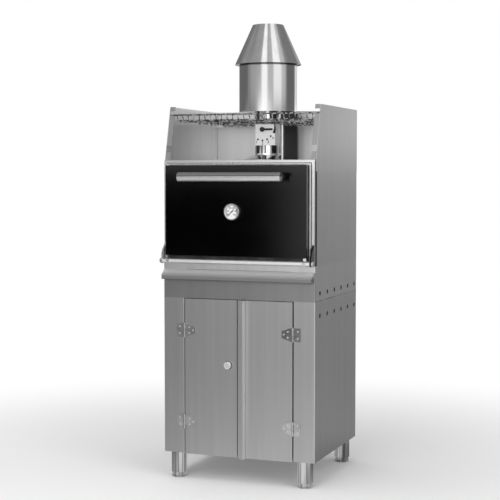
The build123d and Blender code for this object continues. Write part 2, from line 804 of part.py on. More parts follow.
with BuildPart() as firebox:
    with BuildSketch(at_y(Y_FIREBOX_BACK)):
        area(-X_FIREBOX, X_FIREBOX, Z_FIREBOX, Z_FIREBOX_TOP)
    extrude(amount=Y_FIREBOX_BACK - Y_FIREBOX)
    with BuildSketch(at_z(Z_FIREBOX - CHUTE_LENGTH)):
        with Locations(ASH_SPOT):
            Rectangle(ASH_HOLE + 2 * CHUTE_WALL, ASH_HOLE + 2 * CHUTE_WALL)
    extrude(amount=CHUTE_LENGTH)
    with BuildSketch(at_y(Y_FIREBOX_BACK - FIREBOX_WALL)):
        area(-X_MOUTH, X_MOUTH, Z_CAVITY, Z_CEILING)
    extrude(amount=CAVITY_DEPTH, mode=Mode.SUBTRACT)
    with BuildSketch(at_z(Z_FIREBOX - CHUTE_LENGTH)):
        with Locations(ASH_SPOT):
            Rectangle(ASH_HOLE, ASH_HOLE)
    extrude(amount=CHUTE_LENGTH + FIREBOX_WALL, mode=Mode.SUBTRACT)
    with BuildSketch(at_z(Z_CEILING)):
        with Locations((0, Y_FLUE)):
            Circle(NECK_RADIUS - FLUE_WALL)
    extrude(amount=FIREBOX_WALL, mode=Mode.SUBTRACT)
finish(firebox, "firebox")

with BuildPart() as insulation:
    with BuildSketch(at_z(Z_CHAMBER + SHEET)):
        area(-X_IN, X_IN, Y_CHAMBER, Y_BACK_SHEET)
    extrude(amount=FRAME_HEIGHT - 2 * SHEET)
    with BuildSketch(at_y(Y_FIREBOX_BACK)):
        area(-X_FIREBOX, X_FIREBOX, Z_FIREBOX, Z_FIREBOX_TOP)
    extrude(amount=Y_FIREBOX_BACK - Y_FIREBOX, mode=Mode.SUBTRACT)
    with BuildSketch(at_z(Z_CHAMBER)):
        with Locations(ASH_SPOT):
            Rectangle(ASH_HOLE + 2 * CHUTE_WALL, ASH_HOLE + 2 * CHUTE_WALL)
    extrude(amount=Z_FIREBOX - Z_CHAMBER, mode=Mode.SUBTRACT)
    with BuildSketch(at_z(Z_FIREBOX_TOP)):
        with Locations((0, Y_FLUE)):
            Circle(NECK_RADIUS)
    extrude(amount=Z_OVEN_TOP - Z_FIREBOX_TOP, mode=Mode.SUBTRACT)
finish(insulation, "insulation")

with BuildPart() as charcoal_grate:
    grate_side = ASH_HOLE + 2 * GRATE_MARGIN
    slot_pitch = ASH_HOLE / GRATE_SLOTS
    with BuildSketch(at_z(Z_CAVITY)):
        with Locations(ASH_SPOT):
            RectangleRounded(grate_side, grate_side, GRATE_ROUND)
            with GridLocations(slot_pitch, ASH_HOLE / 2, GRATE_SLOTS, 2):
                SlotOverall(
                    ASH_HOLE / 2 - GRATE_MARGIN, GRATE_SLOT, rotation=90, mode=Mode.SUBTRACT
                )
    extrude(amount=GRATE_THICK)
finish(charcoal_grate, "charcoal_grate")

with BuildPart() as grill_rails:
    for side in (-1, 1):
        for level in RAIL_LEVELS:
            wall = side * (X_MOUTH - RAIL_THICK / 2)
            shelf = Z_CAVITY + level - RAIL_THICK / 2
            rail_path = [
                (wall, shelf - RAIL_LEG),
                (wall, shelf),
                (wall - side * RAIL_LEG, shelf),
            ]
            section = folded(at_y(Y_FIREBOX + RAIL_START + RAIL_LENGTH), rail_path, RAIL_THICK)
            extrude(section, amount=RAIL_LENGTH)
finish(grill_rails, "grill_rails")

with BuildPart() as cooking_grill:
    grill_half = X_MOUTH - GRILL_SIDE_GAP
    grill_front = Y_FIREBOX + RAIL_START
    cross_z = Z_CAVITY + RAIL_LEVELS[-1] + GRILL_ROD
    cross_pitch = (RAIL_LENGTH - 4 * GRILL_ROD) / (GRILL_CROSS_RODS - 1)
    with BuildSketch(at_x(-grill_half)):
        for n in range(GRILL_CROSS_RODS):
            with Locations((grill_front + 2 * GRILL_ROD + n * cross_pitch, cross_z)):
                Circle(GRILL_ROD)
    extrude(amount=2 * grill_half)
    rod_pitch = (2 * grill_half - 4 * GRILL_ROD) / (GRILL_RODS - 1)
    with BuildSketch(at_y(grill_front + RAIL_LENGTH)):
        for n in range(GRILL_RODS):
            rod_x = 2 * GRILL_ROD - grill_half + n * rod_pitch
            with Locations((rod_x, cross_z + 2 * GRILL_ROD - GRILL_FUSE)):
                Circle(GRILL_ROD)
    extrude(amount=RAIL_LENGTH)
finish(cooking_grill, "cooking_grill")

# Axle that the oven door turns on

BRACKET_X = X_FRAME - BRACKET_END

with BuildPart() as hinge_brackets:
    for side in (-1, 1):
        with BuildSketch(at_x(side * BRACKET_X - BRACKET_THICK / 2)):
            with BuildLine():
                Polyline(
                    (Y_FRONT, Z_CHAMBER),
                    (Y_FRONT, Z_AXLE + CHEEK_TOP),
                    (Y_FRONT - CHEEK_MID_REACH, Z_AXLE + CHEEK_MID),
                    (Y_FRONT - CHEEK_LOW_REACH, Z_AXLE + CHEEK_LOW),
                    (Y_AXLE - BRACKET_RADIUS, Z_AXLE),
                    (Y_AXLE, Z_CHAMBER),
                    close=True,
                )
            make_face()
            with Locations((Y_AXLE, Z_AXLE)):
                Circle(BRACKET_RADIUS)
            with Locations((Y_AXLE, Z_AXLE)):
                Circle(AXLE_RADIUS, mode=Mode.SUBTRACT)
        extrude(amount=BRACKET_THICK)
finish(hinge_brackets, "hinge_brackets")

AXLE_HALF = BRACKET_X + BRACKET_THICK / 2

with BuildPart() as hinge_axle:
    with BuildSketch(at_x(-AXLE_HALF)):
        with Locations((Y_AXLE, Z_AXLE)):
            Circle(AXLE_RADIUS)
    extrude(amount=2 * AXLE_HALF)
finish(hinge_axle, "hinge_axle")

with BuildPart() as axle_nuts:
    for side in (-1, 1):
        start = side * AXLE_HALF
        with BuildSketch(at_x(min(start, start + side * NUT_LENGTH))):
            with Locations((Y_AXLE, Z_AXLE)):
                Circle(NUT_RADIUS)
        extrude(amount=NUT_LENGTH)
    nut_ends = axle_nuts.faces().sort_by(Axis.X)
    fillet(nut_ends[0].edges() + nut_ends[-1].edges(), radius=NUT_DOME)
finish(axle_nuts, "axle_nuts")

# Oven door

with BuildPart() as door_skin:
    with BuildSketch(at_y(Y_CARRIER)):
        area(-X_DOOR, X_DOOR, Z_ENAMEL, Z_DOOR_TOP)
    extrude(amount=ENAMEL_THICK)
    fillet(door_skin.edges().filter_by(Axis.Y), radius=ENAMEL_ROUND)
    fillet(door_skin.faces().sort_by(Axis.Y)[0].edges(), radius=ENAMEL_ROUND / 2)
    with BuildSketch(at_y(Y_CARRIER)):
        area(
            ENAMEL_SHELL - X_DOOR,
            X_DOOR - ENAMEL_SHELL,
            Z_ENAMEL + ENAMEL_SHELL,
            Z_DOOR_TOP - ENAMEL_SHELL,
        )
    extrude(amount=ENAMEL_THICK - ENAMEL_SHELL, mode=Mode.SUBTRACT)
    with BuildSketch(at_y(Y_CARRIER)):
        with Locations((GAUGE_X, Z_DOOR_TOP - GAUGE_DROP)):
            Circle(STEM_RADIUS + STEM_GAP)
    extrude(amount=ENAMEL_THICK, mode=Mode.SUBTRACT)
finish(door_skin, "door_skin")

X_CARRIER = X_DOOR - CARRIER_INSET
Z_CARRIER = Z_CHAMBER + CARRIER_UP

with BuildPart() as door_carrier:
    with BuildSketch(at_y(Y_DOOR_BACK)):
        area(-X_CARRIER, X_CARRIER, Z_CARRIER, Z_DOOR_TOP - CARRIER_INSET)
    extrude(amount=Y_DOOR_BACK - Y_CARRIER)
    with BuildSketch(at_y(Y_DOOR_BACK - CARRIER_WALL)):
        area(
            CARRIER_WALL - X_CARRIER,
            X_CARRIER - CARRIER_WALL,
            Z_ENAMEL + ENAMEL_SHELL,
            Z_DOOR_TOP - CARRIER_INSET - CARRIER_WALL,
        )
    extrude(amount=Y_DOOR_BACK - CARRIER_WALL - Y_CARRIER, mode=Mode.SUBTRACT)
    with BuildSketch(at_y(Y_DOOR_BACK)):
        with Locations((GAUGE_X, Z_DOOR_TOP - GAUGE_DROP)):
            Circle(STEM_RADIUS + STEM_GAP)
    extrude(amount=CARRIER_WALL, mode=Mode.SUBTRACT)
finish(door_carrier, "door_carrier")

with BuildPart() as door_insulation:
    with BuildSketch(at_y(Y_DOOR_BACK - CARRIER_WALL)):
        area(
            CARRIER_WALL - X_CARRIER,
            X_CARRIER - CARRIER_WALL,
            Z_ENAMEL + ENAMEL_SHELL,
            Z_DOOR_TOP - CARRIER_INSET - CARRIER_WALL,
        )
        with Locations((GAUGE_X, Z_DOOR_TOP - GAUGE_DROP)):
            Circle(STEM_RADIUS + STEM_GAP, mode=Mode.SUBTRACT)
    extrude(amount=Y_DOOR_BACK - CARRIER_WALL - Y_CARRIER)
finish(door_insulation, "door_insulation")

with BuildPart() as door_liner:
    plug = (
        PLUG_GAP - X_MOUTH,
        X_MOUTH - PLUG_GAP,
        Z_CAVITY + PLUG_GAP,
        Z_CEILING - PLUG_GAP,
    )
    with BuildSketch(at_y(Y_DOOR_BACK + PLUG_DEPTH + DOOR_BACK_GAP)):
        area(*plug)
    extrude(amount=PLUG_DEPTH + DOOR_BACK_GAP)
    fillet(door_liner.faces().sort_by(Axis.Y)[-1].edges(), radius=PLUG_ROUND)
    with BuildSketch(at_y(Y_DOOR_BACK + PLUG_DEPTH + DOOR_BACK_GAP - SHEET)):
        area(plug[0] + SHEET, plug[1] - SHEET, plug[2] + SHEET, plug[3] - SHEET)
    extrude(amount=PLUG_DEPTH + DOOR_BACK_GAP - SHEET, mode=Mode.SUBTRACT)
    with BuildSketch(at_y(Y_DOOR_BACK + PLUG_DEPTH + DOOR_BACK_GAP)):
        with Locations((GAUGE_X, Z_DOOR_TOP - GAUGE_DROP)):
            Circle(STEM_RADIUS + STEM_GAP)
    extrude(amount=PLUG_DEPTH + DOOR_BACK_GAP, mode=Mode.SUBTRACT)
finish(door_liner, "door_liner")

with BuildPart() as door_ears:
    ear_x = X_CARRIER - EYE_INSET - EYE_WIDTH / 2
    for side in (-1, 1):
        with BuildSketch(at_x(side * ear_x - EYE_WIDTH / 2)):
            with Locations((Y_AXLE, Z_AXLE)):
                Circle(EYE_RADIUS)
            area(Y_AXLE, Y_CARRIER, Z_AXLE, Z_ENAMEL - EYE_UNDER_ENAMEL)
            with Locations((Y_AXLE, Z_AXLE)):
                Circle(AXLE_RADIUS + RUNNING, mode=Mode.SUBTRACT)
        extrude(amount=EYE_WIDTH)
finish(door_ears, "door_ears")

# Handle across the oven door

Y_HANDLE = Y_ENAMEL - HANDLE_STAND
Z_HANDLE = Z_DOOR_TOP - HANDLE_DROP

with BuildPart() as handle_bar:
    with BuildSketch(at_x(-HANDLE_HALF)):
        with Locations((Y_HANDLE, Z_HANDLE)):
            Circle(HANDLE_RADIUS)
    extrude(amount=2 * HANDLE_HALF)
    bar_ends = handle_bar.faces().filter_by(Axis.X)
    fillet(bar_ends.edges(), radius=HANDLE_WALL)
    with BuildSketch(at_x(HANDLE_WALL - HANDLE_HALF)):
        with Locations((Y_HANDLE, Z_HANDLE)):
            Circle(HANDLE_RADIUS - HANDLE_WALL)
    extrude(amount=2 * (HANDLE_HALF - HANDLE_WALL), mode=Mode.SUBTRACT)
finish(handle_bar, "handle_bar")

with BuildPart() as handle_posts:
    with BuildSketch(at_y(Y_ENAMEL)):
        with Locations((-POST_SPREAD, Z_HANDLE), (POST_SPREAD, Z_HANDLE)):
            Circle(POST_RADIUS)
    extrude(amount=HANDLE_STAND)
    with BuildSketch(at_x(-HANDLE_HALF)):
        with Locations((Y_HANDLE, Z_HANDLE)):
            Circle(HANDLE_RADIUS)
    extrude(amount=2 * HANDLE_HALF, mode=Mode.SUBTRACT)
finish(handle_posts, "handle_posts")

# Thermometer: cup with its stem through the door, dial with a pin, glass and needle

GAUGE_Z = Z_DOOR_TOP - GAUGE_DROP
Y_DIAL = Y_ENAMEL - GAUGE_BACK - DIAL_THICK
Y_NEEDLE = Y_DIAL - NEEDLE_LIFT
GAUGE_INNER = GAUGE_RADIUS - GAUGE_RIM
STEM_LENGTH = DOOR_FACE + PLUG_DEPTH + STEM_BEYOND

with BuildPart() as thermometer_case:
    with BuildSketch(at_y(Y_ENAMEL)):
        with Locations((GAUGE_X, GAUGE_Z)):
            Circle(GAUGE_RADIUS)
    extrude(amount=GAUGE_DEPTH)
    fillet(thermometer_case.faces().sort_by(Axis.Y)[0].edges(), radius=GAUGE_RIM / 2)
    with BuildSketch(at_y(Y_ENAMEL - GAUGE_BACK)):
        with Locations((GAUGE_X, GAUGE_Z)):
            Circle(GAUGE_INNER)
    extrude(amount=GAUGE_DEPTH, mode=Mode.SUBTRACT)
    with BuildSketch(at_y(Y_ENAMEL + STEM_LENGTH)):
        with Locations((GAUGE_X, GAUGE_Z)):
            Circle(STEM_RADIUS)
    extrude(amount=STEM_LENGTH)
finish(thermometer_case, "thermometer_case")

with BuildPart() as thermometer_dial:
    with BuildSketch(at_y(Y_DIAL + DIAL_THICK)):
        with Locations((GAUGE_X, GAUGE_Z)):
            Circle(GAUGE_INNER)
    extrude(amount=DIAL_THICK)
    with BuildSketch(at_y(Y_DIAL)):
        with Locations((GAUGE_X, GAUGE_Z)):
            Circle(NEEDLE_PIN_RADIUS)
    extrude(amount=NEEDLE_LIFT + 2 * NEEDLE_THICK)
finish(thermometer_dial, "thermometer_dial")

with BuildPart() as thermometer_glass:
    with BuildSketch(at_y(Y_ENAMEL - GAUGE_DEPTH + GAUGE_GLASS_SET + GAUGE_GLASS)):
        with Locations((GAUGE_X, GAUGE_Z)):
            Circle(GAUGE_INNER)
    extrude(amount=GAUGE_GLASS)
finish(thermometer_glass, "thermometer_glass")

with BuildPart() as thermometer_needle:
    aim = math.radians(NEEDLE_REST_ANGLE)
    pointer_mid = (NEEDLE_LENGTH - NEEDLE_TAIL) / 2
    with BuildSketch(at_y(Y_NEEDLE)):
        with Locations((GAUGE_X, GAUGE_Z)):
            Circle(NEEDLE_HUB)
        blade_x = GAUGE_X + pointer_mid * math.cos(aim)
        blade_z = GAUGE_Z + pointer_mid * math.sin(aim)
        with Locations((blade_x, blade_z)):
            SlotOverall(NEEDLE_LENGTH + NEEDLE_TAIL, NEEDLE_WIDTH, rotation=NEEDLE_REST_ANGLE)
        with Locations((GAUGE_X, GAUGE_Z)):
            Circle(NEEDLE_PIN_RADIUS + RUNNING, mode=Mode.SUBTRACT)
    extrude(amount=NEEDLE_THICK)
finish(thermometer_needle, "thermometer_needle")

# Open bay above the oven

BAY_RISE = Z_TOP - Z_OVEN_TOP
BAY_RUN = BAY_SLANT_TOP - SIDE_SETBACK
BAY_LENGTH = math.hypot(BAY_RISE, BAY_RUN)
Z_ROD = Z_OVEN_TOP + NOTCH_UPPER_UP + ROD_RADIUS


def slant_y(z):
    """Front edge of the bay's sides at height z."""
    return Y_SIDE + BAY_RUN * (z - Z_OVEN_TOP) / BAY_RISE


def bay_side(side):
    """Adds one side of the bay: sheet with a slanted front, notched flange and rear return."""
    inner = min(side * X_SIDE, side * X_IN)
    with BuildSketch(at_x(inner)) as sheet:
        with BuildLine():
            Polyline(
                (Y_SIDE, Z_SEAM),
                (Y_SIDE, Z_OVEN_TOP),
                (slant_y(Z_TOP), Z_TOP),
                (Y_BACK, Z_TOP),
                (Y_BACK, Z_SEAM),
                close=True,
            )
        make_face()
    extrude(sheet.sketch, amount=SHEET)
    slope = Plane(
        (0, Y_SIDE, Z_OVEN_TOP),
        x_dir=(1, 0, 0),
        z_dir=(0, -BAY_RISE, BAY_RUN),
    )
    stretch = BAY_LENGTH / BAY_RISE
    edges = sorted((side * X_SIDE, side * (X_SIDE - FLANGE_WIDTH)))
    notch = sorted((side * (X_SIDE - FLANGE_WIDTH), side * (X_SIDE - FLANGE_WIDTH + NOTCH_DEPTH)))
    with BuildSketch(slope) as flange:
        area(*edges, SHEET, BAY_LENGTH)
        for up, height in (
            (NOTCH_UPPER_UP, NOTCH_HEIGHT),
            (NOTCH_LOWER_UP, NOTCH_LOWER_HEIGHT),
        ):
            area(*notch, up * stretch, (up + height) * stretch, mode=Mode.SUBTRACT)
    extrude(flange.sketch, amount=-SHEET)
    rear = sorted((side * X_SIDE, side * (X_SIDE - REAR_RETURN)))
    with BuildSketch(at_y(Y_BACK)) as fold:
        area(*rear, Z_SEAM, Z_TOP)
    extrude(fold.sketch, amount=SHEET)


with BuildPart() as bay_side_left:
    bay_side(-1)
finish(bay_side_left, "bay_side_left")

with BuildPart() as bay_side_right:
    bay_side(1)
finish(bay_side_right, "bay_side_right")

Z_RACK = Z_ROD - RACK_DROP
Z_LEDGE = Z_RACK - WIRE_RADIUS - 2 * ROD_RADIUS

with BuildPart() as back_panel:
    with BuildSketch(at_y(Y_BACK - SHEET)):
        area(BEND - X_IN, X_IN - BEND, Z_DECK, Z_TOP)
    extrude(amount=SHEET)
    with BuildSketch(at_y(Y_BACK_SHEET)):
        area(BEND - X_IN, X_IN - BEND, Z_LEDGE - SHEET, Z_LEDGE)
    extrude(amount=LEDGE_DEPTH)
finish(back_panel, "back_panel")

# Warming rack: a front rail of two rods with rungs between, and a grid of wires behind it


def rod(y, z, half):
    """Adds a rod across the rack."""
    with BuildSketch(at_x(-half)) as section:
        with Locations((y, z)):
            Circle(ROD_RADIUS)
    extrude(section.sketch, amount=2 * half)


def wire(x, start, end):
    """Adds a wire at x between two points given in (y, z)."""
    with BuildLine(at_x(x)) as path:
        Line(start, end)
    with BuildSketch(Plane(origin=path.line @ 0, z_dir=path.line % 0)) as section:
        Circle(WIRE_RADIUS)
    sweep(section.sketch, path=path.line)


Y_ROD = slant_y(Z_ROD) + ROD_RADIUS
Y_DIP = Y_ROD + RACK_LEAN
WIRE_HALF = X_IN - RACK_WIRE_MARGIN
WIRE_PLACES = [WIRE_HALF * (2 * n / (WIRE_COUNT - 1) - 1) for n in range(WIRE_COUNT)]

with BuildPart() as rack_front:
    rod(Y_ROD, Z_ROD, X_SIDE - FLANGE_WIDTH + NOTCH_DEPTH - RACK_END_GAP / 2)
    rod(Y_DIP, Z_RACK, WIRE_HALF + ROD_RADIUS)
    for x in WIRE_PLACES:
        wire(x, (Y_ROD, Z_ROD), (Y_DIP, Z_RACK))
finish(rack_front, "rack_front")

with BuildPart() as warming_rack:
    wires_start = Y_DIP + ROD_RADIUS
    wires_end = Y_BACK_SHEET - RACK_REAR_GAP
    neck_half = NECK_RADIUS + RACK_NECK_GAP
    cross_z = Z_RACK - WIRE_RADIUS - ROD_RADIUS + GRILL_FUSE
    for y in (wires_start + RACK_LEAN, Y_FLUE - neck_half, Y_FLUE + neck_half, wires_end):
        rod(y, cross_z, WIRE_HALF)
    for x in WIRE_PLACES:
        if abs(x) < neck_half:
            wire(x, (wires_start, Z_RACK), (Y_FLUE - neck_half, Z_RACK))
            wire(x, (Y_FLUE + neck_half, Z_RACK), (wires_end, Z_RACK))
        else:
            wire(x, (wires_start, Z_RACK), (wires_end, Z_RACK))
finish(warming_rack, "warming_rack")

with BuildPart() as rack_pillar:
    pillar_spot = (PILLAR_X, Y_FRONT + PILLAR_Y)
    with BuildSketch(at_z(Z_OVEN_TOP)):
        with Locations(pillar_spot):
            Circle(PILLAR_FOOT_RADIUS)
    extrude(amount=PILLAR_FOOT)
    with BuildSketch(at_z(Z_OVEN_TOP)):
        with Locations(pillar_spot):
            Circle(PILLAR_RADIUS)
    extrude(amount=Z_RACK - WIRE_RADIUS - Z_OVEN_TOP)
finish(rack_pillar, "rack_pillar")

# Flue: neck, flared collar, spark arrester and hat, all round one axis

FLUE_AXIS = Axis((0, Y_FLUE, 0), (0, 0, 1))
NECK_INNER = NECK_RADIUS - FLUE_WALL
Z_NECK_TOP = Z_PIPE + NECK_IN_PIPE


def flue_section(turn=0):
    """Upright plane through the flue's axis, turned about it, drawn in (radius, z)."""
    across = (math.cos(turn), math.sin(turn), 0)
    facing = (math.sin(turn), -math.cos(turn), 0)
    return Plane((0, Y_FLUE, 0), x_dir=across, z_dir=facing)


with BuildPart() as flue_neck:
    with BuildSketch(at_z(Z_FIREBOX_TOP)):
        with Locations((0, Y_FLUE)):
            Circle(NECK_RADIUS)
            Circle(NECK_INNER, mode=Mode.SUBTRACT)
    extrude(amount=Z_NECK_TOP - Z_FIREBOX_TOP)
    with BuildSketch(at_y(Y_FLUE + NECK_RADIUS)):
        with Locations((0, Z_DAMPER)):
            Circle(DAMPER_SHAFT + RUNNING)
    extrude(amount=2 * NECK_RADIUS, mode=Mode.SUBTRACT)
finish(flue_neck, "flue_neck")

with BuildPart() as flue_collar:
    rim_top = Z_OVEN_TOP + COLLAR_RIM
    cone_top = Z_OVEN_TOP + COLLAR_HEIGHT
    with BuildSketch(flue_section()):
        with BuildLine():
            Polyline(
                (COLLAR_RADIUS - FLUE_WALL, Z_OVEN_TOP),
                (COLLAR_RADIUS, Z_OVEN_TOP),
                (COLLAR_RADIUS, rim_top),
                (NECK_RADIUS + FLUE_WALL, cone_top - COLLAR_TUBE),
                (NECK_RADIUS + FLUE_WALL, cone_top),
                (NECK_RADIUS, cone_top),
                (NECK_RADIUS, cone_top - COLLAR_TUBE - FLUE_WALL),
                (COLLAR_RADIUS - FLUE_WALL, rim_top - FLUE_WALL),
                close=True,
            )
        make_face()
    revolve(axis=FLUE_AXIS)
finish(flue_collar, "flue_collar")

with BuildPart() as firebreaker_pipe:
    with BuildSketch(flue_section()):
        with BuildLine():
            Polyline(
                (NECK_RADIUS, Z_PIPE),
                (PIPE_RADIUS, Z_PIPE),
                (PIPE_RADIUS, Z_PIPE_TOP),
                (PIPE_RADIUS - FLUE_WALL, Z_PIPE_TOP),
                (PIPE_RADIUS - FLUE_WALL, Z_PIPE + FLUE_WALL),
                (NECK_RADIUS, Z_PIPE + FLUE_WALL),
                close=True,
            )
        make_face()
    revolve(axis=FLUE_AXIS)
finish(firebreaker_pipe, "firebreaker_pipe")

with BuildPart() as spark_baffle:
    baffle_foot = Z_PIPE + BAFFLE_UP
    with BuildSketch(flue_section()):
        with BuildLine():
            Polyline(
                (0, baffle_foot + BAFFLE_RISE),
                (BAFFLE_RADIUS, baffle_foot),
                (BAFFLE_RADIUS, baffle_foot - FLUE_WALL),
                (0, baffle_foot + BAFFLE_RISE - FLUE_WALL),
                close=True,
            )
        make_face()
    revolve(axis=FLUE_AXIS)
    arm_length = PIPE_RADIUS - FLUE_WALL - BAFFLE_RADIUS + BAFFLE_ARM_THICK
    with BuildSketch(at_z(baffle_foot - BAFFLE_ARM_THICK)):
        with Locations((0, Y_FLUE)):
            Circle(PIPE_RADIUS - FLUE_WALL)
            Circle(PIPE_RADIUS - FLUE_WALL - arm_length, mode=Mode.SUBTRACT)
        with Locations((0, Y_FLUE)):
            with PolarLocations(PIPE_RADIUS / 2, BAFFLE_ARMS, 90):
                Rectangle(PIPE_RADIUS, BAFFLE_ARM_WIDTH, mode=Mode.INTERSECT)
    extrude(amount=BAFFLE_ARM_THICK)
finish(spark_baffle, "spark_baffle")


def hat_inner(z):
    """Inner radius of the hat at height z."""
    return HAT_RIM_RADIUS - FLUE_WALL - (HAT_RIM_RADIUS - HAT_TOP_RADIUS) * (z - Z_HAT) / HAT_HEIGHT


with BuildPart() as hat:
    with BuildSketch(flue_section()):
        with BuildLine():
            Polyline(
                (HAT_RIM_RADIUS, Z_HAT),
                (HAT_TOP_RADIUS, Z_HAT + HAT_HEIGHT),
                (HAT_TOP_RADIUS - FLUE_WALL, Z_HAT + HAT_HEIGHT),
                (HAT_RIM_RADIUS - FLUE_WALL, Z_HAT),
                close=True,
            )
        make_face()
    revolve(axis=FLUE_AXIS)
    tab_low = Z_HAT + HAT_BRACKET_UP
    tab_high = tab_low + HAT_BRACKET_HEIGHT
    for n in range(HAT_BRACKETS):
        turn = math.radians(HAT_BRACKET_START + n * 360 / HAT_BRACKETS)
        with BuildSketch(flue_section(turn)):
            with BuildLine():
                Polyline(
                    (PIPE_RADIUS, tab_low),
                    (hat_inner(tab_low), tab_low),
                    (hat_inner(tab_high), tab_high),
                    (PIPE_RADIUS, tab_high),
                    close=True,
                )
            make_face()
        revolve(axis=FLUE_AXIS, revolution_arc=HAT_BRACKET_ANGLE)
finish(hat, "hat")

# Damper: disc on a shaft through the neck, lever in front of a fixed scale plate

Y_SCALE = Y_FRONT + SCALE_Y
Y_LEVER = Y_SCALE - SHEET - LEVER_GAP

with BuildPart() as damper_scale:
    scale_path = [
        (SCALE_LEFT, Y_SCALE - HALF_SHEET),
        (SCALE_RIGHT - HALF_SHEET, Y_SCALE - HALF_SHEET),
        (SCALE_RIGHT - HALF_SHEET, Y_SCALE + SCALE_FLANGE),
    ]
    extrude(folded(at_z(Z_DAMPER - SCALE_BELOW), scale_path), amount=SCALE_BELOW + SCALE_ABOVE)
    with BuildSketch(at_y(Y_FLUE)):
        with Locations((0, Z_DAMPER)):
            Circle(BUSH_RADIUS)
    extrude(amount=Y_FLUE - Y_SCALE)
    with BuildSketch(at_z(Z_DAMPER - 2 * BUSH_RADIUS)):
        with Locations((0, Y_FLUE)):
            Circle(NECK_RADIUS)
    extrude(amount=4 * BUSH_RADIUS, mode=Mode.SUBTRACT)
    with BuildSketch(at_y(Y_FLUE)):
        with Locations((0, Z_DAMPER)):
            Circle(DAMPER_SHAFT + RUNNING)
    extrude(amount=Y_FLUE - Y_SCALE + SHEET, mode=Mode.SUBTRACT)
finish(damper_scale, "damper_scale")

with BuildPart() as damper_disc:
    with BuildSketch(at_z(Z_DAMPER - DAMPER_THICK / 2)):
        with Locations((0, Y_FLUE)):
            Circle(NECK_INNER - DAMPER_GAP)
    extrude(amount=DAMPER_THICK)
    shaft_back = Y_FLUE + NECK_RADIUS + DAMPER_SHAFT_BACK
    with BuildSketch(at_y(shaft_back)):
        with Locations((0, Z_DAMPER)):
            Circle(DAMPER_SHAFT)
    extrude(amount=shaft_back - Y_LEVER)
finish(damper_disc, "damper_disc")

with BuildPart() as damper_lever:
    with BuildSketch(at_y(Y_LEVER)):
        with Locations((0, Z_DAMPER)):
            Circle(LEVER_HUB)
        with Locations((LEVER_LENGTH / 2, Z_DAMPER)):
            SlotOverall(LEVER_LENGTH, LEVER_WIDTH)
    extrude(amount=LEVER_THICK)
    with BuildSketch(at_y(Y_LEVER)):
        with Locations((0, Z_DAMPER)):
            Circle(LEVER_HUB)
    extrude(amount=LEVER_HUB_LENGTH)
finish(damper_lever, "damper_lever")
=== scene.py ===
import json

import bmesh
import bpy
import numpy as np
from mathutils import Matrix, Vector


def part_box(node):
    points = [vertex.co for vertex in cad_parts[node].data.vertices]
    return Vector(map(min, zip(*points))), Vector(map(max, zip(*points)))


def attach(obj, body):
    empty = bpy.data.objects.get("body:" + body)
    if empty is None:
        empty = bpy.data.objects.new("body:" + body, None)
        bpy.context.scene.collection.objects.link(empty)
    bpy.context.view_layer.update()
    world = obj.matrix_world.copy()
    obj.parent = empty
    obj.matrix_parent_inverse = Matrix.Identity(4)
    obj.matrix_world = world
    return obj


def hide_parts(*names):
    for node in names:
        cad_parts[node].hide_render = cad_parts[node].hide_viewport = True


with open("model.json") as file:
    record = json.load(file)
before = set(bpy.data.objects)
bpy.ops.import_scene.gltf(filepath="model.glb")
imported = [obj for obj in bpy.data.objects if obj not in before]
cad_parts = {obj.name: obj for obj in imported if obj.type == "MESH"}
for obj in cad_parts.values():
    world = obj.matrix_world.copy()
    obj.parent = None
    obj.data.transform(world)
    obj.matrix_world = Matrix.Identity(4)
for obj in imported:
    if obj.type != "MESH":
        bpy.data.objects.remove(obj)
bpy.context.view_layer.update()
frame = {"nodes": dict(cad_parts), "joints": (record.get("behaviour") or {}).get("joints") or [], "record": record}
node = frame["nodes"]

# Places of the CAD that the finishes and the added pieces go by, in metres
Y_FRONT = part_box("left_door_panel")[0].y
HALF_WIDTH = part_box("plinth")[1].x
FRAME_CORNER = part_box("front_frame")[1]
PIPE_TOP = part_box("firebreaker_pipe")[1].z
PLINTH_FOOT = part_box("plinth")[0].z
PANEL_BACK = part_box("back_panel")[1].y
BAY_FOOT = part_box("bay_side_left")[0].z
PULL_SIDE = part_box("door_pull")[1].x
COLLAR_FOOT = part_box("flue_collar")[0].z
DRAWER_FOOT, DRAWER_TOP = (corner.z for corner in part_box("ash_drawer_front"))
HANDLE_LOW, HANDLE_HIGH = (corner.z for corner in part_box("handle_bar"))
HANDLE_Z, HANDLE_RADIUS = (HANDLE_LOW + HANDLE_HIGH) / 2, (HANDLE_HIGH - HANDLE_LOW) / 2
NEEDLE_LOW, NEEDLE_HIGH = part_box("thermometer_needle")
GLASS_LOW, GLASS_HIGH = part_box("thermometer_glass")
DIAL_CENTRE = ((GLASS_LOW.x + GLASS_HIGH.x) / 2, (GLASS_LOW.z + GLASS_HIGH.z) / 2)
PIVOT = {j["name"]: Vector(j["pos_m"]) for j in frame["joints"] if j["type"] == "hinge"}


# Camera, at the height and angle of the photograph


def aim(thing, place, target):
    """Puts a lamp or camera at place and turns its -Z axis to target."""
    away = Vector(target) - Vector(place)
    thing.matrix_world = Matrix.Translation(place) @ away.to_track_quat("-Z", "Y").to_matrix().to_4x4()


def photo_camera(place, turn, tilt, focal_pixels, image_side=500):
    """Adds the camera: turn is its heading left of +Y and tilt is how far it looks down, in degrees."""
    lens = bpy.data.cameras.new("photo_camera")
    lens.sensor_width = 36
    lens.lens = focal_pixels / image_side * lens.sensor_width
    lens.clip_end = 100
    camera = bpy.data.objects.new("photo_camera", lens)
    bpy.context.scene.collection.objects.link(camera)
    heading, fall = np.radians(turn), np.radians(tilt)
    look = Vector((-np.sin(heading) * np.cos(fall), np.cos(heading) * np.cos(fall), -np.sin(fall)))
    aim(camera, place, Vector(place) + look)
    bpy.context.scene.camera = camera


photo_camera(place=(2.218, Y_FRONT - 5.618, 1.487), turn=20.99, tilt=3.34, focal_pixels=1260.6)


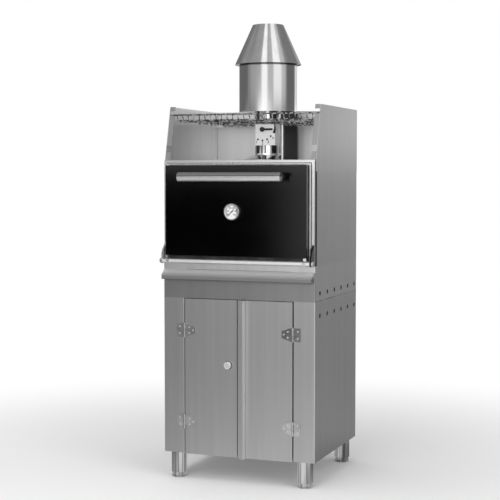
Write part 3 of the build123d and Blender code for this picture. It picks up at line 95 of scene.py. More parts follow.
# Shader maths


class Link:
    """An output socket that takes part in plain arithmetic, which adds Math nodes."""

    def __init__(self, graph, socket):
        self.graph, self.socket = graph, socket

    def maths(self, operation, *values):
        return self.graph.add("Math", {"operation": operation}, dict(enumerate(values)))

    def __add__(self, other):
        return self.maths("ADD", self, other)

    def __radd__(self, other):
        return self.maths("ADD", other, self)

    def __sub__(self, other):
        return self.maths("SUBTRACT", self, other)

    def __rsub__(self, other):
        return self.maths("SUBTRACT", other, self)

    def __mul__(self, other):
        return self.maths("MULTIPLY", self, other)

    def __truediv__(self, other):
        return self.maths("DIVIDE", self, other)

    def __pow__(self, other):
        return self.maths("POWER", self, other)

    def largest(self, other):
        return self.maths("MAXIMUM", self, other)

    def size(self):
        return self.maths("ABSOLUTE", self)

    def sine(self):
        return self.maths("SINE", self)

    def between(self, low, high, low_value=0.0, high_value=1.0):
        """Runs smoothly from low_value to high_value as this value goes from low to high."""
        return self.graph.add(
            "MapRange",
            {"interpolation_type": "SMOOTHSTEP"},
            {"Value": self, "From Min": low, "From Max": high, "To Min": low_value, "To Max": high_value},
        )


class Graph:
    """The node tree of a material or of the world, emptied first."""

    def __init__(self, tree):
        self.tree = tree
        tree.nodes.clear()

    def add(self, kind, settings=None, inputs=None, output=0):
        """Adds a node: its settings first, then values or links for its inputs."""
        made = self.tree.nodes.new("ShaderNode" + kind)
        for name, value in (settings or {}).items():
            if name == "stops":
                ramp = made.color_ramp.elements
                while len(ramp) < len(value):
                    ramp.new(0.5)
                for stop, (place, level) in zip(ramp, value):
                    stop.position = place
                    stop.color = (level, level, level, 1)
            else:
                setattr(made, name, value)
        for name, value in (inputs or {}).items():
            if isinstance(value, Link):
                self.tree.links.new(value.socket, made.inputs[name])
            else:
                made.inputs[name].default_value = value
        return Link(self, made.outputs[output] if len(made.outputs) else None)

    def place(self, scale=(1, 1, 1)):
        """Object coordinates, stretched by scale."""
        where = self.add("TexCoord", output="Object")
        return self.add("Mapping", {}, {"Vector": where, "Scale": scale})

    def axis(self, letter, where=None):
        """X, Y or Z of a vector, which is the object coordinates unless another is given."""
        return self.add("SeparateXYZ", {}, {"Vector": where or self.place()}, letter)

    def noise(self, scale, detail=2.0):
        """Soft noise from 0 to 1 with scale cells to the metre along X, Y and Z."""
        return self.add("TexNoise", {}, {"Vector": self.place(scale), "Scale": 1.0, "Detail": detail})

    def mix(self, factor, first, second):
        """Colour between two colours; 6, 7 and output 2 are the mix node's sockets for colours."""
        return self.add("Mix", {"data_type": "RGBA"}, {0: factor, 6: first, 7: second}, 2)

    def in_sight(self):
        """1 for rays from the camera, off metal or through glass, and 0 for light on its way."""
        camera, glossy, through = (
            self.add("LightPath", output=f"Is {kind} Ray") for kind in ("Camera", "Glossy", "Transmission")
        )
        return camera.largest(glossy).largest(through)

    def grey(self, value):
        """A value as a neutral colour."""
        return self.add("CombineColor", {}, {"Red": value, "Green": value, "Blue": value})

    def bump(self, height, distance):
        """Normal of a relief of the given depth in metres."""
        return self.add("Bump", {}, {"Height": height, "Distance": distance, "Strength": 1.0})

    def surface(self, **inputs):
        """Principled shader to the material's output; underscores in a name stand for spaces."""
        named = {name.replace("_", " "): value for name, value in inputs.items()}
        self.finish(self.add("BsdfPrincipled", {}, named))

    def finish(self, shader):
        """Leads a shader to the material's output."""
        self.add("OutputMaterial", {}, {"Surface": shader})


def material(name):
    """A new material and its emptied graph."""
    made = bpy.data.materials.new(name)
    made.use_nodes = True
    return made, Graph(made.node_tree)


def shade(level, dark_band=(1, 1, 1)):
    """Colour of a level, times a tint."""
    return tuple(level * t for t in dark_band) + (1,)


# Finishes: for each sheet, where its brightness changes is a function of its own


def satin_sheet(name, fine, broad, roughness=0.3, level=0.62, streak=0.05, metallic=1.0, local=None):
    """Satin stainless sheet: fine holds the cells to the metre of its grain, broad those of its streaks.

    A local function gives the factor by which places of the sheet are darker or brighter. Metallic is a
    number or such a function.
    """
    made, g = material(name)
    grain = g.noise(fine, 3.0)
    streaks = g.noise(broad, 2.0)
    clouds = g.noise((3.1, 3.1, 2.3), 2.0)
    value = level - streak + (streaks - 0.5) * 2 * streak + grain * 0.03 + clouds * 0.03
    if local:
        value = value * local(g)
    g.surface(
        Base_Color=g.grey(value),
        Roughness=roughness - 0.05 + grain * 0.05 + streaks * 0.03 + clouds * 0.02,
        Metallic=metallic(g) if callable(metallic) else metallic,
        Normal=g.bump(grain, 0.00002),
    )
    return made


def bead_of_frame(g, from_side=0.017, from_top=0.015, width=0.0075, plate=0.004):
    """Painted highlight along the frame's bead, painted shade at its foot and on the walls of the tray behind the
    plate.
    """
    side = g.axis("X").size() - (FRAME_CORNER.x - from_side)
    out = side.largest(g.axis("Z") - (FRAME_CORNER.z - from_top))
    bead = out.between(-width, -width + 0.0015) * (1 - out.between(-0.0015, -0.0005))
    foot = out.between(-0.0008, 0.0) * (1 - out.between(0.002, 0.0035))
    behind = g.axis("Y").between(Y_FRONT + plate + 0.0002, Y_FRONT + plate + 0.0008)
    return (1 + bead * 0.45 - foot * 0.8) * (1 - behind * 0.94)


def bend_of_side(g, bend=0.004):
    """Painted highlight where the side sheet is bent round to the front."""
    outer = g.axis("X").size().between(HALF_WIDTH - bend, HALF_WIDTH - 0.0015)
    return 1 + outer * (1 - g.axis("Y").between(Y_FRONT + bend / 2, Y_FRONT + bend)) * 0.5


def inside_of_bay(g, sheet=0.002):
    """Painted light: brighter on the inner face of the bay's side sheets."""
    depth = HALF_WIDTH - g.axis("X").size()
    wall = (1 - depth.between(sheet + 0.0003, sheet + 0.0008)) * depth.between(0.0006, 0.0014)
    return 1 + wall * 0.58


def inside_of_panel(g):
    """1 on the face of the back panel inside the bay, 0 on its outer face and below the bay."""
    inner = 1 - g.axis("Y").between(PANEL_BACK - 0.0007, PANEL_BACK - 0.0003)
    return inner * g.axis("Z").between(BAY_FOOT - 0.002, BAY_FOOT)


def heat_of_panel(g, band_from=-0.165, band_to=0.086, outer_level=0.63):
    """Painted reflection: a dark band on the back panel behind the flue's neck, with soft edges, and painted light
    to its right, inside the bay only.
    """
    x = g.axis("X")
    ragged = x + g.noise((9, 9, 9), 2.0) * 0.012
    dark_band = ragged.between(band_from, band_from + 0.035) * (1 - ragged.between(band_to - 0.018, band_to))
    inner = (0.8 + x.between(0.08, 0.12) * 0.25) * (1 - dark_band * 0.9)
    return outer_level + inside_of_panel(g) * (inner - outer_level)


def metal_of_panel(g):
    """Less of a mirror inside the bay, where a haze of smoke lies on the panel."""
    return 1 - inside_of_panel(g) * 0.58


def rail_of_plinth(g, rail=0.004, seam_width=0.003):
    """Painted shade darkens the whole front, and a painted highlight brightens the rail above the drawer.

    On the sides, it is darker in short dashes along the seam with the cabinet.
    """
    z = g.axis("Z")
    front = 1 - g.axis("Y").between(Y_FRONT + 0.003, Y_FRONT + 0.005)
    front_shade_rail_light = front * (0.34 - z.between(DRAWER_TOP - rail, DRAWER_TOP) * 0.8)
    seam = (1 - z.between(PLINTH_FOOT + seam_width, PLINTH_FOOT + seam_width + 0.0005)) * (1 - front)
    dashes = g.noise((1, 60, 1), 0.0).between(0.45, 0.5)
    return (1 - front_shade_rail_light) * (1 - seam * dashes * 0.75)


def lip_of_drawer(g, slope=0.036, lip=0.004):
    """Painted shade: darker down the drawer's slope and darkest on the lip."""
    z = g.axis("Z")
    sloping = z.between(DRAWER_TOP - slope, DRAWER_TOP - lip, 0.27, 0.92)
    return sloping - (1 - z.between(DRAWER_FOOT, DRAWER_FOOT + lip)) * 0.1


def web_of_pull(g):
    """Painted highlight down the web of the door pull, which is duller on its front lip."""
    return 0.84 + g.axis("X").between(PULL_SIDE - 0.0008, PULL_SIDE - 0.0004) * 0.7


def shadow_gap(g, depth=0.024):
    """Painted shadow: dark at the front edge of the oven's side sheet, in the gap beside the frame."""
    return g.axis("Y").between(Y_FRONT + depth, Y_FRONT + depth + 0.004, 0.08, 1)


def streaks_of_leg(g):
    """Bright and dull stripes drawn along the tube."""
    return g.noise((62, 62, 1.5), 2.0).between(0.4, 0.6, 0.6, 1.3)


def stains_of_neck(g):
    """Painted reflection: dark and bright upright stripes on the flue's neck."""
    return g.noise((52, 52, 2), 2.0).between(0.42, 0.56, 0.08, 1.1)


def grease_of_bracket(g):
    """The right bracket is made nearly black."""
    return 1 - g.axis("X").between(0, 0.1) * 0.96


def edge_of_collar(g, line_height=0.004):
    """Painted shade: a dark line round the foot of the collar."""
    return g.axis("Z").between(COLLAR_FOOT + line_height, COLLAR_FOOT + line_height + 0.002, 0.05, 1)


def grip_of_handle(g):
    """Painted reflection: dark over the top of the bar, brightest just under its middle and a little darker at the
    bottom.
    """
    up = (g.axis("Z") - HANDLE_Z) / HANDLE_RADIUS
    return up.between(-0.06, 0.1, 1.06, 0.34) * up.between(-1.0, 0.0, 0.75, 1)


def soot_of_pipe(g, low=0.034, high=0.026):
    """Painted shadow on the pipe just under the hat's rim, from low to high below its top."""
    ragged = g.axis("Z") + g.noise((30, 30, 8), 3.0) * 0.006
    return 1 - ragged.between(PIPE_TOP - low, PIPE_TOP - high) * 0.85


def polished_steel(name, roughness=0.12, level=0.72, mottle=0.05, hairline=0.1, metallic=1.0):
    """Polished stainless with hairline scratches in every direction and faint finger marks."""
    made, g = material(name)
    hairs = g.noise((900, 900, 90), 2.0) * g.noise((120, 700, 700), 2.0)
    marks = g.noise((38, 38, 38), 3.0)
    g.surface(
        Base_Color=g.grey(level - mottle / 2 + (marks - 0.5) * (2 * mottle)),
        Roughness=roughness - 0.03 + hairs * hairline + marks * 0.04,
        Metallic=metallic,
        Normal=g.bump(hairs, 0.00002),
    )
    return made


def greasy_wire():
    """Wire with flecks of burnt grease on bright steel."""
    made, g = material("greasy_wire")
    flecks = g.noise((85, 85, 85), 2.0).between(0.42, 0.58)
    g.surface(
        Base_Color=g.mix(flecks, shade(0.1), shade(0.97)),
        Roughness=0.22 - flecks * 0.14,
        Metallic=1.0,
    )
    return made


def black_enamel():
    """Gloss black enamel with the slight ripple of a fired coat and a few specks of dust."""
    made, g = material("black_enamel")
    ripple = g.noise((75, 75, 75), 1.0)
    dust = g.noise((1400, 1400, 1400), 0.0).between(0.74, 0.8)
    haze = g.noise((6, 6, 9), 3.0)
    g.surface(
        Base_Color=g.grey(0.0002 + dust * 0.006),
        Roughness=0.09 + haze * 0.05 + dust * 0.3,
        Normal=g.bump(ripple, 0.00005),
        IOR=1.45,
    )
    return made


def heated_steel():
    """Dark steel inside the oven: scale in blotches, with a dull metal sheen."""
    made, g = material("dark_steel")
    blotches = g.noise((14, 14, 14), 5.0)
    pits = g.noise((420, 420, 420), 2.0)
    g.surface(
        Base_Color=g.mix(blotches.between(0.35, 0.7), shade(0.05), shade(0.1, (1.05, 1, 0.94))),
        Roughness=0.45 + pits * 0.25,
        Metallic=0.6,
        Normal=g.bump(pits, 0.0001),
    )
    return made


def cast_iron():
    """Rough cast iron with a sandy skin."""
    made, g = material("cast_iron")
    sand = g.noise((650, 650, 650), 3.0)
    worn = g.noise((22, 22, 22), 4.0)
    g.surface(
        Base_Color=g.mix(worn.between(0.45, 0.7), shade(0.025), shade(0.07, (1, 0.97, 0.94))),
        Roughness=0.55 + sand * 0.3,
        Metallic=0.7,
        Normal=g.bump(sand, 0.0004),
    )
    return made


def mineral_wool():
    """Pale mineral wool: tangled fibres in two directions."""
    made, g = material("mineral_wool")
    fibres = g.noise((260, 60, 900), 4.0) * 0.5 + g.noise((60, 700, 240), 4.0) * 0.5
    dull, clean = shade(0.42, (1, 0.96, 0.88)), shade(0.75, (1, 0.97, 0.9))
    g.surface(
        Base_Color=g.mix(fibres.between(0.3, 0.7), dull, clean),
        Roughness=0.95,
        Normal=g.bump(fibres, 0.001),
    )
    return made


# Ridges of the rope, in radians to the metre, and how many turns they lean by round it
RIDGES = 900
LEAN = 3


def woven_rope():
    """Glass-fibre rope: grey yarns that cross at a slant along its path, in the piece's own UV."""
    made, g = material("woven_rope")
    path = g.add("UVMap", {"uv_map": "path"})
    run, lean = g.axis("X", path) * RIDGES, g.axis("Y", path) * (2 * np.pi * LEAN)
    yarn = (run + lean).sine().largest((run - lean).sine()) * 0.5 + 0.5
    g.surface(
        Base_Color=g.mix(yarn, shade(0.05), shade(0.28, (1, 0.98, 0.94))),
        Roughness=0.9,
        Normal=g.bump(yarn, 0.0006),
    )
    return made


def dial_enamel():
    """White enamel of the dial, a little uneven."""
    made, g = material("dial_enamel")
    cloud = g.noise((60, 60, 60), 3.0)
    g.surface(
        Base_Color=g.mix(cloud, shade(0.92, (1, 0.995, 0.98)), shade(0.98, (1, 0.998, 0.99))),
        Roughness=0.35 + cloud * 0.1,
    )
    return made


def clear_glass():
    """Thin clear glass, with faint wiping marks in its roughness."""
    made, g = material("clear_glass")
    wiping = g.noise((30, 30, 90), 3.0)
    g.surface(
        Base_Color=shade(1.0),
        Roughness=0.01 + wiping * 0.03,
        Transmission_Weight=1.0,
        IOR=1.45,
        Alpha=0.1,
    )
    return made


def black_lacquer(name, level=0.012):
    """Black lacquer with a fine stipple."""
    made, g = material(name)
    stipple = g.noise((1500, 1500, 1500), 1.0)
    g.surface(
        Base_Color=g.grey(level + stipple * level),
        Roughness=0.4 + stipple * 0.15,
        Normal=g.bump(stipple, 0.00003),
    )
    return made


UPRIGHT = {"fine": (1100, 1100, 14), "broad": (45, 45, 1.2)}
LEVEL = {"fine": (14, 14, 1100), "broad": (1.2, 1.2, 45)}
LENGTHWAYS = {"fine": (10, 1100, 1100), "broad": (1.5, 160, 160), "streak": 0.04}
DRAWN = {"fine": (700, 700, 6), "broad": (150, 150, 2)}
sheet_upright = satin_sheet("sheet_upright", **UPRIGHT, roughness=0.42, local=bend_of_side)
sheet_level = satin_sheet("sheet_level", **LEVEL, roughness=0.5)
plinth_sheet = satin_sheet("plinth_sheet", **UPRIGHT, roughness=0.42, metallic=0.95, local=rail_of_plinth)
drawer_sheet = satin_sheet(
    "drawer_sheet", **LEVEL, roughness=0.55, level=0.93, metallic=0.65, local=lip_of_drawer
)
frame_sheet = satin_sheet(
    "frame_sheet", **LEVEL, roughness=0.2, level=0.68, metallic=0.76, local=bead_of_frame
)
bay_sheet = satin_sheet(
    "bay_sheet", **UPRIGHT, roughness=0.36, level=0.98, metallic=metal_of_panel, local=heat_of_panel
)
bay_wall = satin_sheet("bay_wall", **UPRIGHT, roughness=0.42, metallic=0.95, local=inside_of_bay)
oven_side = satin_sheet("oven_side", **UPRIGHT, roughness=0.42, local=shadow_gap)
pull_sheet = satin_sheet("pull_sheet", **UPRIGHT, roughness=0.42, metallic=0.95, local=web_of_pull)
neck_sheet = satin_sheet("neck_sheet", **UPRIGHT, roughness=0.06, level=0.8, local=stains_of_neck)
bracket_sheet = satin_sheet(
    "bracket_sheet", **UPRIGHT, roughness=0.12, level=0.85, local=grease_of_bracket
)
collar_sheet = satin_sheet("collar_sheet", **LEVEL, roughness=0.1, level=0.92, local=edge_of_collar)
flue_sheet = satin_sheet(
    "flue_sheet", **UPRIGHT, roughness=0.14, level=0.64, streak=0.07, local=soot_of_pipe
)
hat_sheet = satin_sheet("hat_sheet", **UPRIGHT, roughness=0.09, level=0.68, streak=0.1)
leg_sheet = satin_sheet("leg_sheet", **DRAWN, roughness=0.14, local=streaks_of_leg)
scale_sheet = satin_sheet("scale_sheet", **LEVEL, roughness=0.35, level=0.93, metallic=0.4)
handle_tube = satin_sheet(
    "handle_tube", **LENGTHWAYS, roughness=0.2, level=0.94, metallic=0.8, local=grip_of_handle
)
axle_steel = satin_sheet("axle_steel", **LENGTHWAYS, roughness=0.25, level=0.95, metallic=0.6)
steel = polished_steel("polished_steel")
bright_steel = polished_steel("bright_steel", 0.08, 0.93)
knob_steel = polished_steel("knob_steel", 0.12, 0.95, hairline=0.03, metallic=0.6)
# Dark steel for the lock barrel: painted shade round the knob.
barrel_shade_steel = polished_steel("barrel_shade_steel", 0.2, 0.16)
hinge_steel = polished_steel("hinge_steel", 0.13, 0.8, mottle=0.3)
wire_steel = greasy_wire()
enamel = black_enamel()
dark_steel = heated_steel()
iron = cast_iron()
wool = mineral_wool()
rope_finish = woven_rope()
dial_white = dial_enamel()
glass = clear_glass()
black = black_lacquer("black_lacquer")
print_black = black_lacquer("print_black", 0.004)

FINISH_OF_SLOT = {
    "sheet": sheet_upright,
    "polished": steel,
    "rack_wire": wire_steel,
    "enamel": enamel,
    "dark_steel": dark_steel,
    "cast": iron,
    "wool": wool,
    "rope": rope_finish,
    "dial_white": dial_white,
    "glass": glass,
    "black_paint": black,
}
FINISH_OF_NODE = {
    "plinth": plinth_sheet,
    "ash_drawer_front": drawer_sheet,
    "front_frame": frame_sheet,
    "back_panel": bay_sheet,
    "bay_side_left": bay_wall,
    "bay_side_right": bay_wall,
    "hinge_frame_leaves": hinge_steel,
    "left_hinge_leaves": hinge_steel,
    "right_hinge_leaves": hinge_steel,
    "hinge_axle": axle_steel,
    "hinge_pins": bright_steel,
    "door_ears": bright_steel,
    "lock_knob": knob_steel,
    "cabinet_floor": sheet_level,
    "cabinet_deck": sheet_level,
    "oven_top": sheet_level,
    "damper_scale": scale_sheet,
    "firebreaker_pipe": flue_sheet,
    "hat": hat_sheet,
    "flue_neck": neck_sheet,
    "flue_collar": collar_sheet,
    "oven_side_left": oven_side,
    "oven_side_right": oven_side,
    "door_pull": pull_sheet,
    "hinge_brackets": bracket_sheet,
    # The lock barrel is dark: painted shade round the knob.
    "lock_barrel": barrel_shade_steel,
    "leg_tubes": leg_sheet,
    "leg_feet": leg_sheet,
    "handle_bar": handle_tube,
    "handle_posts": black,
}


def assign(thing, finish):
    """Gives a piece one finish all over."""
    thing.data.materials.clear()
    thing.data.materials.append(finish)


for part in frame["record"]["subparts"]:
    name = part["node"]
    assign(node[name], FINISH_OF_NODE.get(name, FINISH_OF_SLOT[part["material_slot"]]))


# Surfaces of the added pieces


def surface(name, points, closed_round=True, closed_along=False, smooth=True):
    """Mesh of a grid of points, rows along and columns round; a closed direction joins its ends.

    The grid is an array of shape (along, round, 3). Rows that shrink to one point close an end.
    """
    rows, columns = points.shape[:2]
    along = np.arange(rows if closed_along else rows - 1)
    across = np.arange(columns if closed_round else columns - 1)
    i, j = (a.ravel() for a in np.meshgrid(along, across, indexing="ij"))
    ahead, beside = (i + 1) % rows, (j + 1) % columns
    quads = np.stack(
        [i * columns + j, i * columns + beside, ahead * columns + beside, ahead * columns + j], axis=1
    )
    mesh = bpy.data.meshes.new(name)
    mesh.from_pydata(points.reshape(-1, 3).tolist(), [], quads.tolist())
    mesh.update()
    thing = bpy.data.objects.new(name, mesh)
    bpy.context.scene.collection.objects.link(thing)
    tidy(mesh)
    mesh.polygons.foreach_set("use_smooth", np.full(len(mesh.polygons), smooth))
    return thing


def tidy(mesh):
    """Merges doubled points and turns the faces outwards."""
    shape = bmesh.new()
    shape.from_mesh(mesh)
    bmesh.ops.remove_doubles(shape, verts=shape.verts, dist=1e-6)
    bmesh.ops.dissolve_degenerate(shape, edges=shape.edges, dist=1e-7)
    bmesh.ops.recalc_face_normals(shape, faces=shape.faces)
    shape.to_mesh(mesh)
    shape.free()


def turned(profile, centre, steps=32):
    """Grid of a profile turned round an axis along Y through centre.

    The profile is (radius, forwards) pairs; forwards is towards the front, so it lowers Y.
    """
    radius, forwards = np.array(profile, float).T
    angle = np.linspace(0, 2 * np.pi, steps, endpoint=False)
    x = centre[0] + radius[:, None] * np.cos(angle)
    z = centre[2] + radius[:, None] * np.sin(angle)
    y = centre[1] - forwards[:, None] + 0 * angle
    return np.stack([x, y, z], axis=2)


def joined(name, things):
    """One object of several, at the origin."""
    first = things[0]
    with bpy.context.temp_override(active_object=first, selected_editable_objects=things, object=first):
        bpy.ops.object.join()
    first.name = first.data.name = name
    return first


def printed(name, outline, y):
    """Flat print at depth y: a closed band between two outlines given as (x, z) rows."""
    inner, outer = outline
    grid = np.stack([inner, outer])
    points = np.stack([grid[..., 0], np.full(grid.shape[:2], y), grid[..., 1]], axis=2)
    return surface(name, points, closed_round=False, smooth=False)


def arc_band(name, centre, inner, outer, start, end, y, steps=24):
    """Printed band along an arc: radius inner and outer may be arrays that run with the angle."""
    angle = np.radians(np.linspace(start, end, steps))
    rows = [
        np.stack([centre[0] + r * np.cos(angle), centre[1] + r * np.sin(angle)], axis=1)
        for r in (inner + 0 * angle, outer + 0 * angle)
    ]
    return printed(name, rows, y)


def compass(angle):
    """Unit step (x, z) at an angle in degrees, which turns from +X up to +Z."""
    return np.array([np.cos(np.radians(angle)), np.sin(np.radians(angle))])


def stroke(name, centre, angle, inner, outer, width, y):
    """Printed tick that points away from centre at angle, from radius inner to outer."""
    way = compass(angle)
    side = np.array([-way[1], way[0]]) * width / 2
    low, high = np.array(centre) + way * inner, np.array(centre) + way * outer
    return printed(name, (np.stack([low - side, high - side]), np.stack([low + side, high + side])), y)


def numeral(text, place, height, y, spread=0.02):
    """Printed number, centred at place (x, z), facing the front, its strokes spread to look bold."""
    curve = bpy.data.curves.new("numeral_" + text, "FONT")
    curve.body = text
    curve.size = height
    curve.offset = spread * height
    curve.align_x, curve.align_y = "CENTER", "CENTER"
    written = bpy.data.objects.new("numeral_" + text, curve)
    bpy.context.scene.collection.objects.link(written)
    bpy.context.view_layer.update()
    mesh = bpy.data.meshes.new_from_object(written.evaluated_get(bpy.context.evaluated_depsgraph_get()))
    bpy.data.objects.remove(written)
    mesh.transform(Matrix.Translation((place[0], y, place[1])) @ Matrix.Rotation(np.pi / 2, 4, "X"))
    thing = bpy.data.objects.new("numeral_" + text, mesh)
    bpy.context.scene.collection.objects.link(thing)
    return thing


def kept(thing, body, finish):
    """Finishes an added piece: its finish and the body that carries it."""
    assign(thing, finish)
    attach(thing, body)


# Screws of the hinges: low domes with a cross recess


def screw_head(name, centre, radius=0.0042, rise=0.0016):
    """Low dome turned round its axis; near the axis the surface drops in a cross.

    The depth of the recess at a point is full where the point lies within the cross's arms.
    """
    r = radius * np.array([1, 1, 0.94, 0.8, 0.6, 0.45, 0.3, 0.15, 0.0])
    up = rise * np.array([0, 0.35, 0.55, 0.8, 0.95, 1, 1, 1, 1])
    grid = turned(np.stack([r, up], axis=1), centre)
    x, z = grid[..., 0] - centre[0], grid[..., 2] - centre[2]
    arm_half_width, arm_reach = 0.16 * radius, 0.62 * radius
    inside = (np.minimum(abs(x), abs(z)) < arm_half_width) & (np.hypot(x, z) < arm_reach)
    grid[..., 1] += np.where(inside, rise * 0.7, 0)
    return surface(name, grid)


# Screws on a leaf: how far out from the pin, and how far up from the hinge's middle
STILE_SCREWS = ((0.025, 0.017), (0.025, -0.017))
DOOR_SCREWS = ((0.025, 0.014), (0.025, -0.014), (0.045, 0.0))
LEAVES_LOW, LEAVES_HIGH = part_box("hinge_frame_leaves")
LEAF_HALF_HEIGHT = 0.033
LEAF_THICKNESS = 0.003
HINGE_LEVELS = (LEAVES_LOW.z + LEAF_HALF_HEIGHT, LEAVES_HIGH.z - LEAF_HALF_HEIGHT)
Y_LEAF_FACE = Y_FRONT - LEAF_THICKNESS


def hinge_screws(name, body, *leaves):
    """Screws on leaves, each leaf given by its pin's X, the way it reaches and its screws' spots."""
    heads = [
        screw_head("screw", (pin + way * out, Y_LEAF_FACE, level + up))
        for pin, way, spots in leaves
        for level in HINGE_LEVELS
        for out, up in spots
    ]
    kept(joined(name, heads), body, bright_steel)


LEFT_PIN, RIGHT_PIN = PIVOT["left_door_hinge"].x, PIVOT["right_door_hinge"].x
hinge_screws("stile_screws", "oven", (LEFT_PIN, -1, STILE_SCREWS), (RIGHT_PIN, 1, STILE_SCREWS))
hinge_screws("left_door_screws", "left_door", (LEFT_PIN, 1, DOOR_SCREWS))
hinge_screws("right_door_screws", "right_door", (RIGHT_PIN, -1, DOOR_SCREWS))


# Dial of the thermometer: scale, strokes, numbers and zones, and a rib along the needle

PRINT_BEHIND_NEEDLE = 0.0018
Y_PRINT = NEEDLE_HIGH.y + PRINT_BEHIND_NEEDLE
DIAL_START, DIAL_SWEEP, DIAL_STROKES, DIAL_NUMBERS = 225, 270, 50, 5
DIAL_END = DIAL_START - DIAL_SWEEP
SCALE_INNER, SCALE_OUTER = 0.031, 0.0324
NUMBER_RING, NUMBER_HEIGHT = 0.0198, 0.0086
ZONE_INNER, ZONE_OUTER = 0.0245, 0.0275


def dial_stroke(n, long):
    """Stroke of the dial's scale: every tenth one is long and bold."""
    angle = DIAL_START - n * DIAL_SWEEP / DIAL_STROKES
    inner, width = (0.0255, 0.0022) if long else (0.0285, 0.0008)
    return stroke("stroke", DIAL_CENTRE, angle, inner, 0.0318, width, Y_PRINT)


def dial_number(n):
    """Number of the dial, in hundreds of degrees."""
    spot = DIAL_CENTRE + NUMBER_RING * compass(DIAL_START - n * DIAL_SWEEP / DIAL_NUMBERS)
    return numeral(str(100 * n), spot, NUMBER_HEIGHT, Y_PRINT)


dial_marks = [
    arc_band("scale", DIAL_CENTRE, SCALE_INNER, SCALE_OUTER, DIAL_START, DIAL_END, Y_PRINT, steps=64)
]
dial_marks += [dial_stroke(n, n % 10 == 0) for n in range(DIAL_STROKES + 1)]
dial_marks += [dial_number(n) for n in range(DIAL_NUMBERS + 1)]
for name, start, end in (("hot_zone", 40, -25), ("idle_zone", 222, 190)):
    dial_marks.append(arc_band(name, DIAL_CENTRE, ZONE_INNER, ZONE_OUTER, start, end, Y_PRINT))
kept(joined("dial_marks", dial_marks), "oven_door", print_black)


def needle_rib(centre, angle, y, tail=0.014, tip=0.024, hub=0.0045, rise=0.0007):
    """Rounded rib along the needle with a hub at the pivot.

    Along the needle the half width falls in a straight line from tail to tip, and over the hub it is
    the hub circle's own; across it the rib rises as the cosine of the part of the half width.
    """
    run = np.linspace(-tail, tip, 49)[:, None]
    taper = 0.0024 - 0.0016 * (run + tail) / (tail + tip)
    half = np.maximum(taper, np.sqrt(np.maximum(hub**2 - run**2, 0)))
    across = np.linspace(-1, 1, 9)
    way = compass(angle)
    x = centre[0] + run * way[0] - half * across * way[1]
    z = centre[1] + run * way[1] + half * across * way[0]
    forwards = rise * np.cos(across * np.pi / 2)
    return surface("needle_rib", np.stack([x, y - forwards + 0 * x, z], axis=2), closed_round=False)


kept(needle_rib(DIAL_CENTRE, DIAL_START, NEEDLE_LOW.y), "gauge_needle", print_black)


# Scale of the damper: dots, numbers and a wedge that shows which way it opens

PRINT_THICKNESS = 0.0002
Y_SCALE_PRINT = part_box("damper_scale")[0].y - PRINT_THICKNESS
SPINDLE = (PIVOT["damper_turn"].x, PIVOT["damper_turn"].z)
WEDGE_RING, DOT_RING, DOT_RADIUS, SCALE_NUMBER_HEIGHT = 0.071, 0.056, 0.005, 0.017
wedge_inner = WEDGE_RING - np.linspace(0.004, 0.015, 24)
damper_marks = [arc_band("wedge", SPINDLE, wedge_inner, WEDGE_RING, 26, -18, Y_SCALE_PRINT)]
for number, angle in ((4, -38), (3, -64), (2, -90), (1, -116)):
    dot, spot = (SPINDLE + compass(angle) * ring for ring in (DOT_RING, WEDGE_RING))
    damper_marks.append(arc_band("dot", dot, 0.0, DOT_RADIUS, 0, 360, Y_SCALE_PRINT))
    damper_marks.append(numeral(str(number), spot, SCALE_NUMBER_HEIGHT, Y_SCALE_PRINT))
kept(joined("damper_marks", damper_marks), "oven", print_black)


# Seal round the oven's mouth: a flattened rope along a rectangle with round corners


def ring_path(low, high, corner, steps=12, spacing=0.004):
    """Points (x, z) of a rectangle with round corners, anticlockwise, and the way along at each."""
    sharp = [(high[0], low[1]), (high[0], high[1]), (low[0], high[1]), (low[0], low[1])]
    points = []
    for n, (x, z) in enumerate(sharp):
        turn = np.radians(-90 + 90 * n + np.linspace(0, 90, steps))
        middle = (x - corner * np.sign(x), z - corner * (1 if n in (1, 2) else -1))
        points.append(np.stack([middle[0] + corner * np.cos(turn), middle[1] + corner * np.sin(turn)], 1))
    corners = np.concatenate(points)
    after = np.roll(corners, -1, axis=0)
    counts = [max(1, int(np.hypot(*(b - a)) / spacing)) for a, b in zip(corners, after)]
    runs = [
        a + (b - a) * np.linspace(0, 1, count, endpoint=False)[:, None]
        for a, b, count in zip(corners, after, counts)
    ]
    path = np.concatenate(runs)
    way = np.roll(path, -1, axis=0) - np.roll(path, 1, axis=0)
    return path, way / np.hypot(*way.T)[:, None]


def rope_seal(node_name, width, thick, corner):
    """Flattened round section carried along the mouth's outline, with ridges that cross over it.

    At angle t round the section a point lies cos(t) half-widths across the path and sin(t)
    half-thicknesses forwards; two families of slanted ridges lift it.
    """
    low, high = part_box(node_name)
    middle_low = (low.x + width / 2, low.z + width / 2)
    middle_high = (high.x - width / 2, high.z - width / 2)
    path, way = ring_path(middle_low, middle_high, corner)
    out = np.stack([way[:, 1], -way[:, 0]], axis=1)
    t = np.linspace(0, 2 * np.pi, 20, endpoint=False)
    run = np.concatenate([[0], np.cumsum(np.hypot(*np.diff(path, axis=0).T))])
    phase = run[:, None] * RIDGES
    ridge = np.maximum(np.sin(phase + LEAN * t), np.sin(phase - LEAN * t))
    swell = 0.94 + 0.06 * ridge
    across = width / 2 * np.cos(t) * swell
    forwards = thick / 2 * np.sin(t) * swell
    y = (low.y + high.y) / 2 - forwards
    points = np.stack([path[:, :1] + out[:, :1] * across, y, path[:, 1:] + out[:, 1:] * across], axis=2)
    rope = surface("door_rope", points, closed_along=True)
    carry_uv(rope, points, run, t)
    return rope


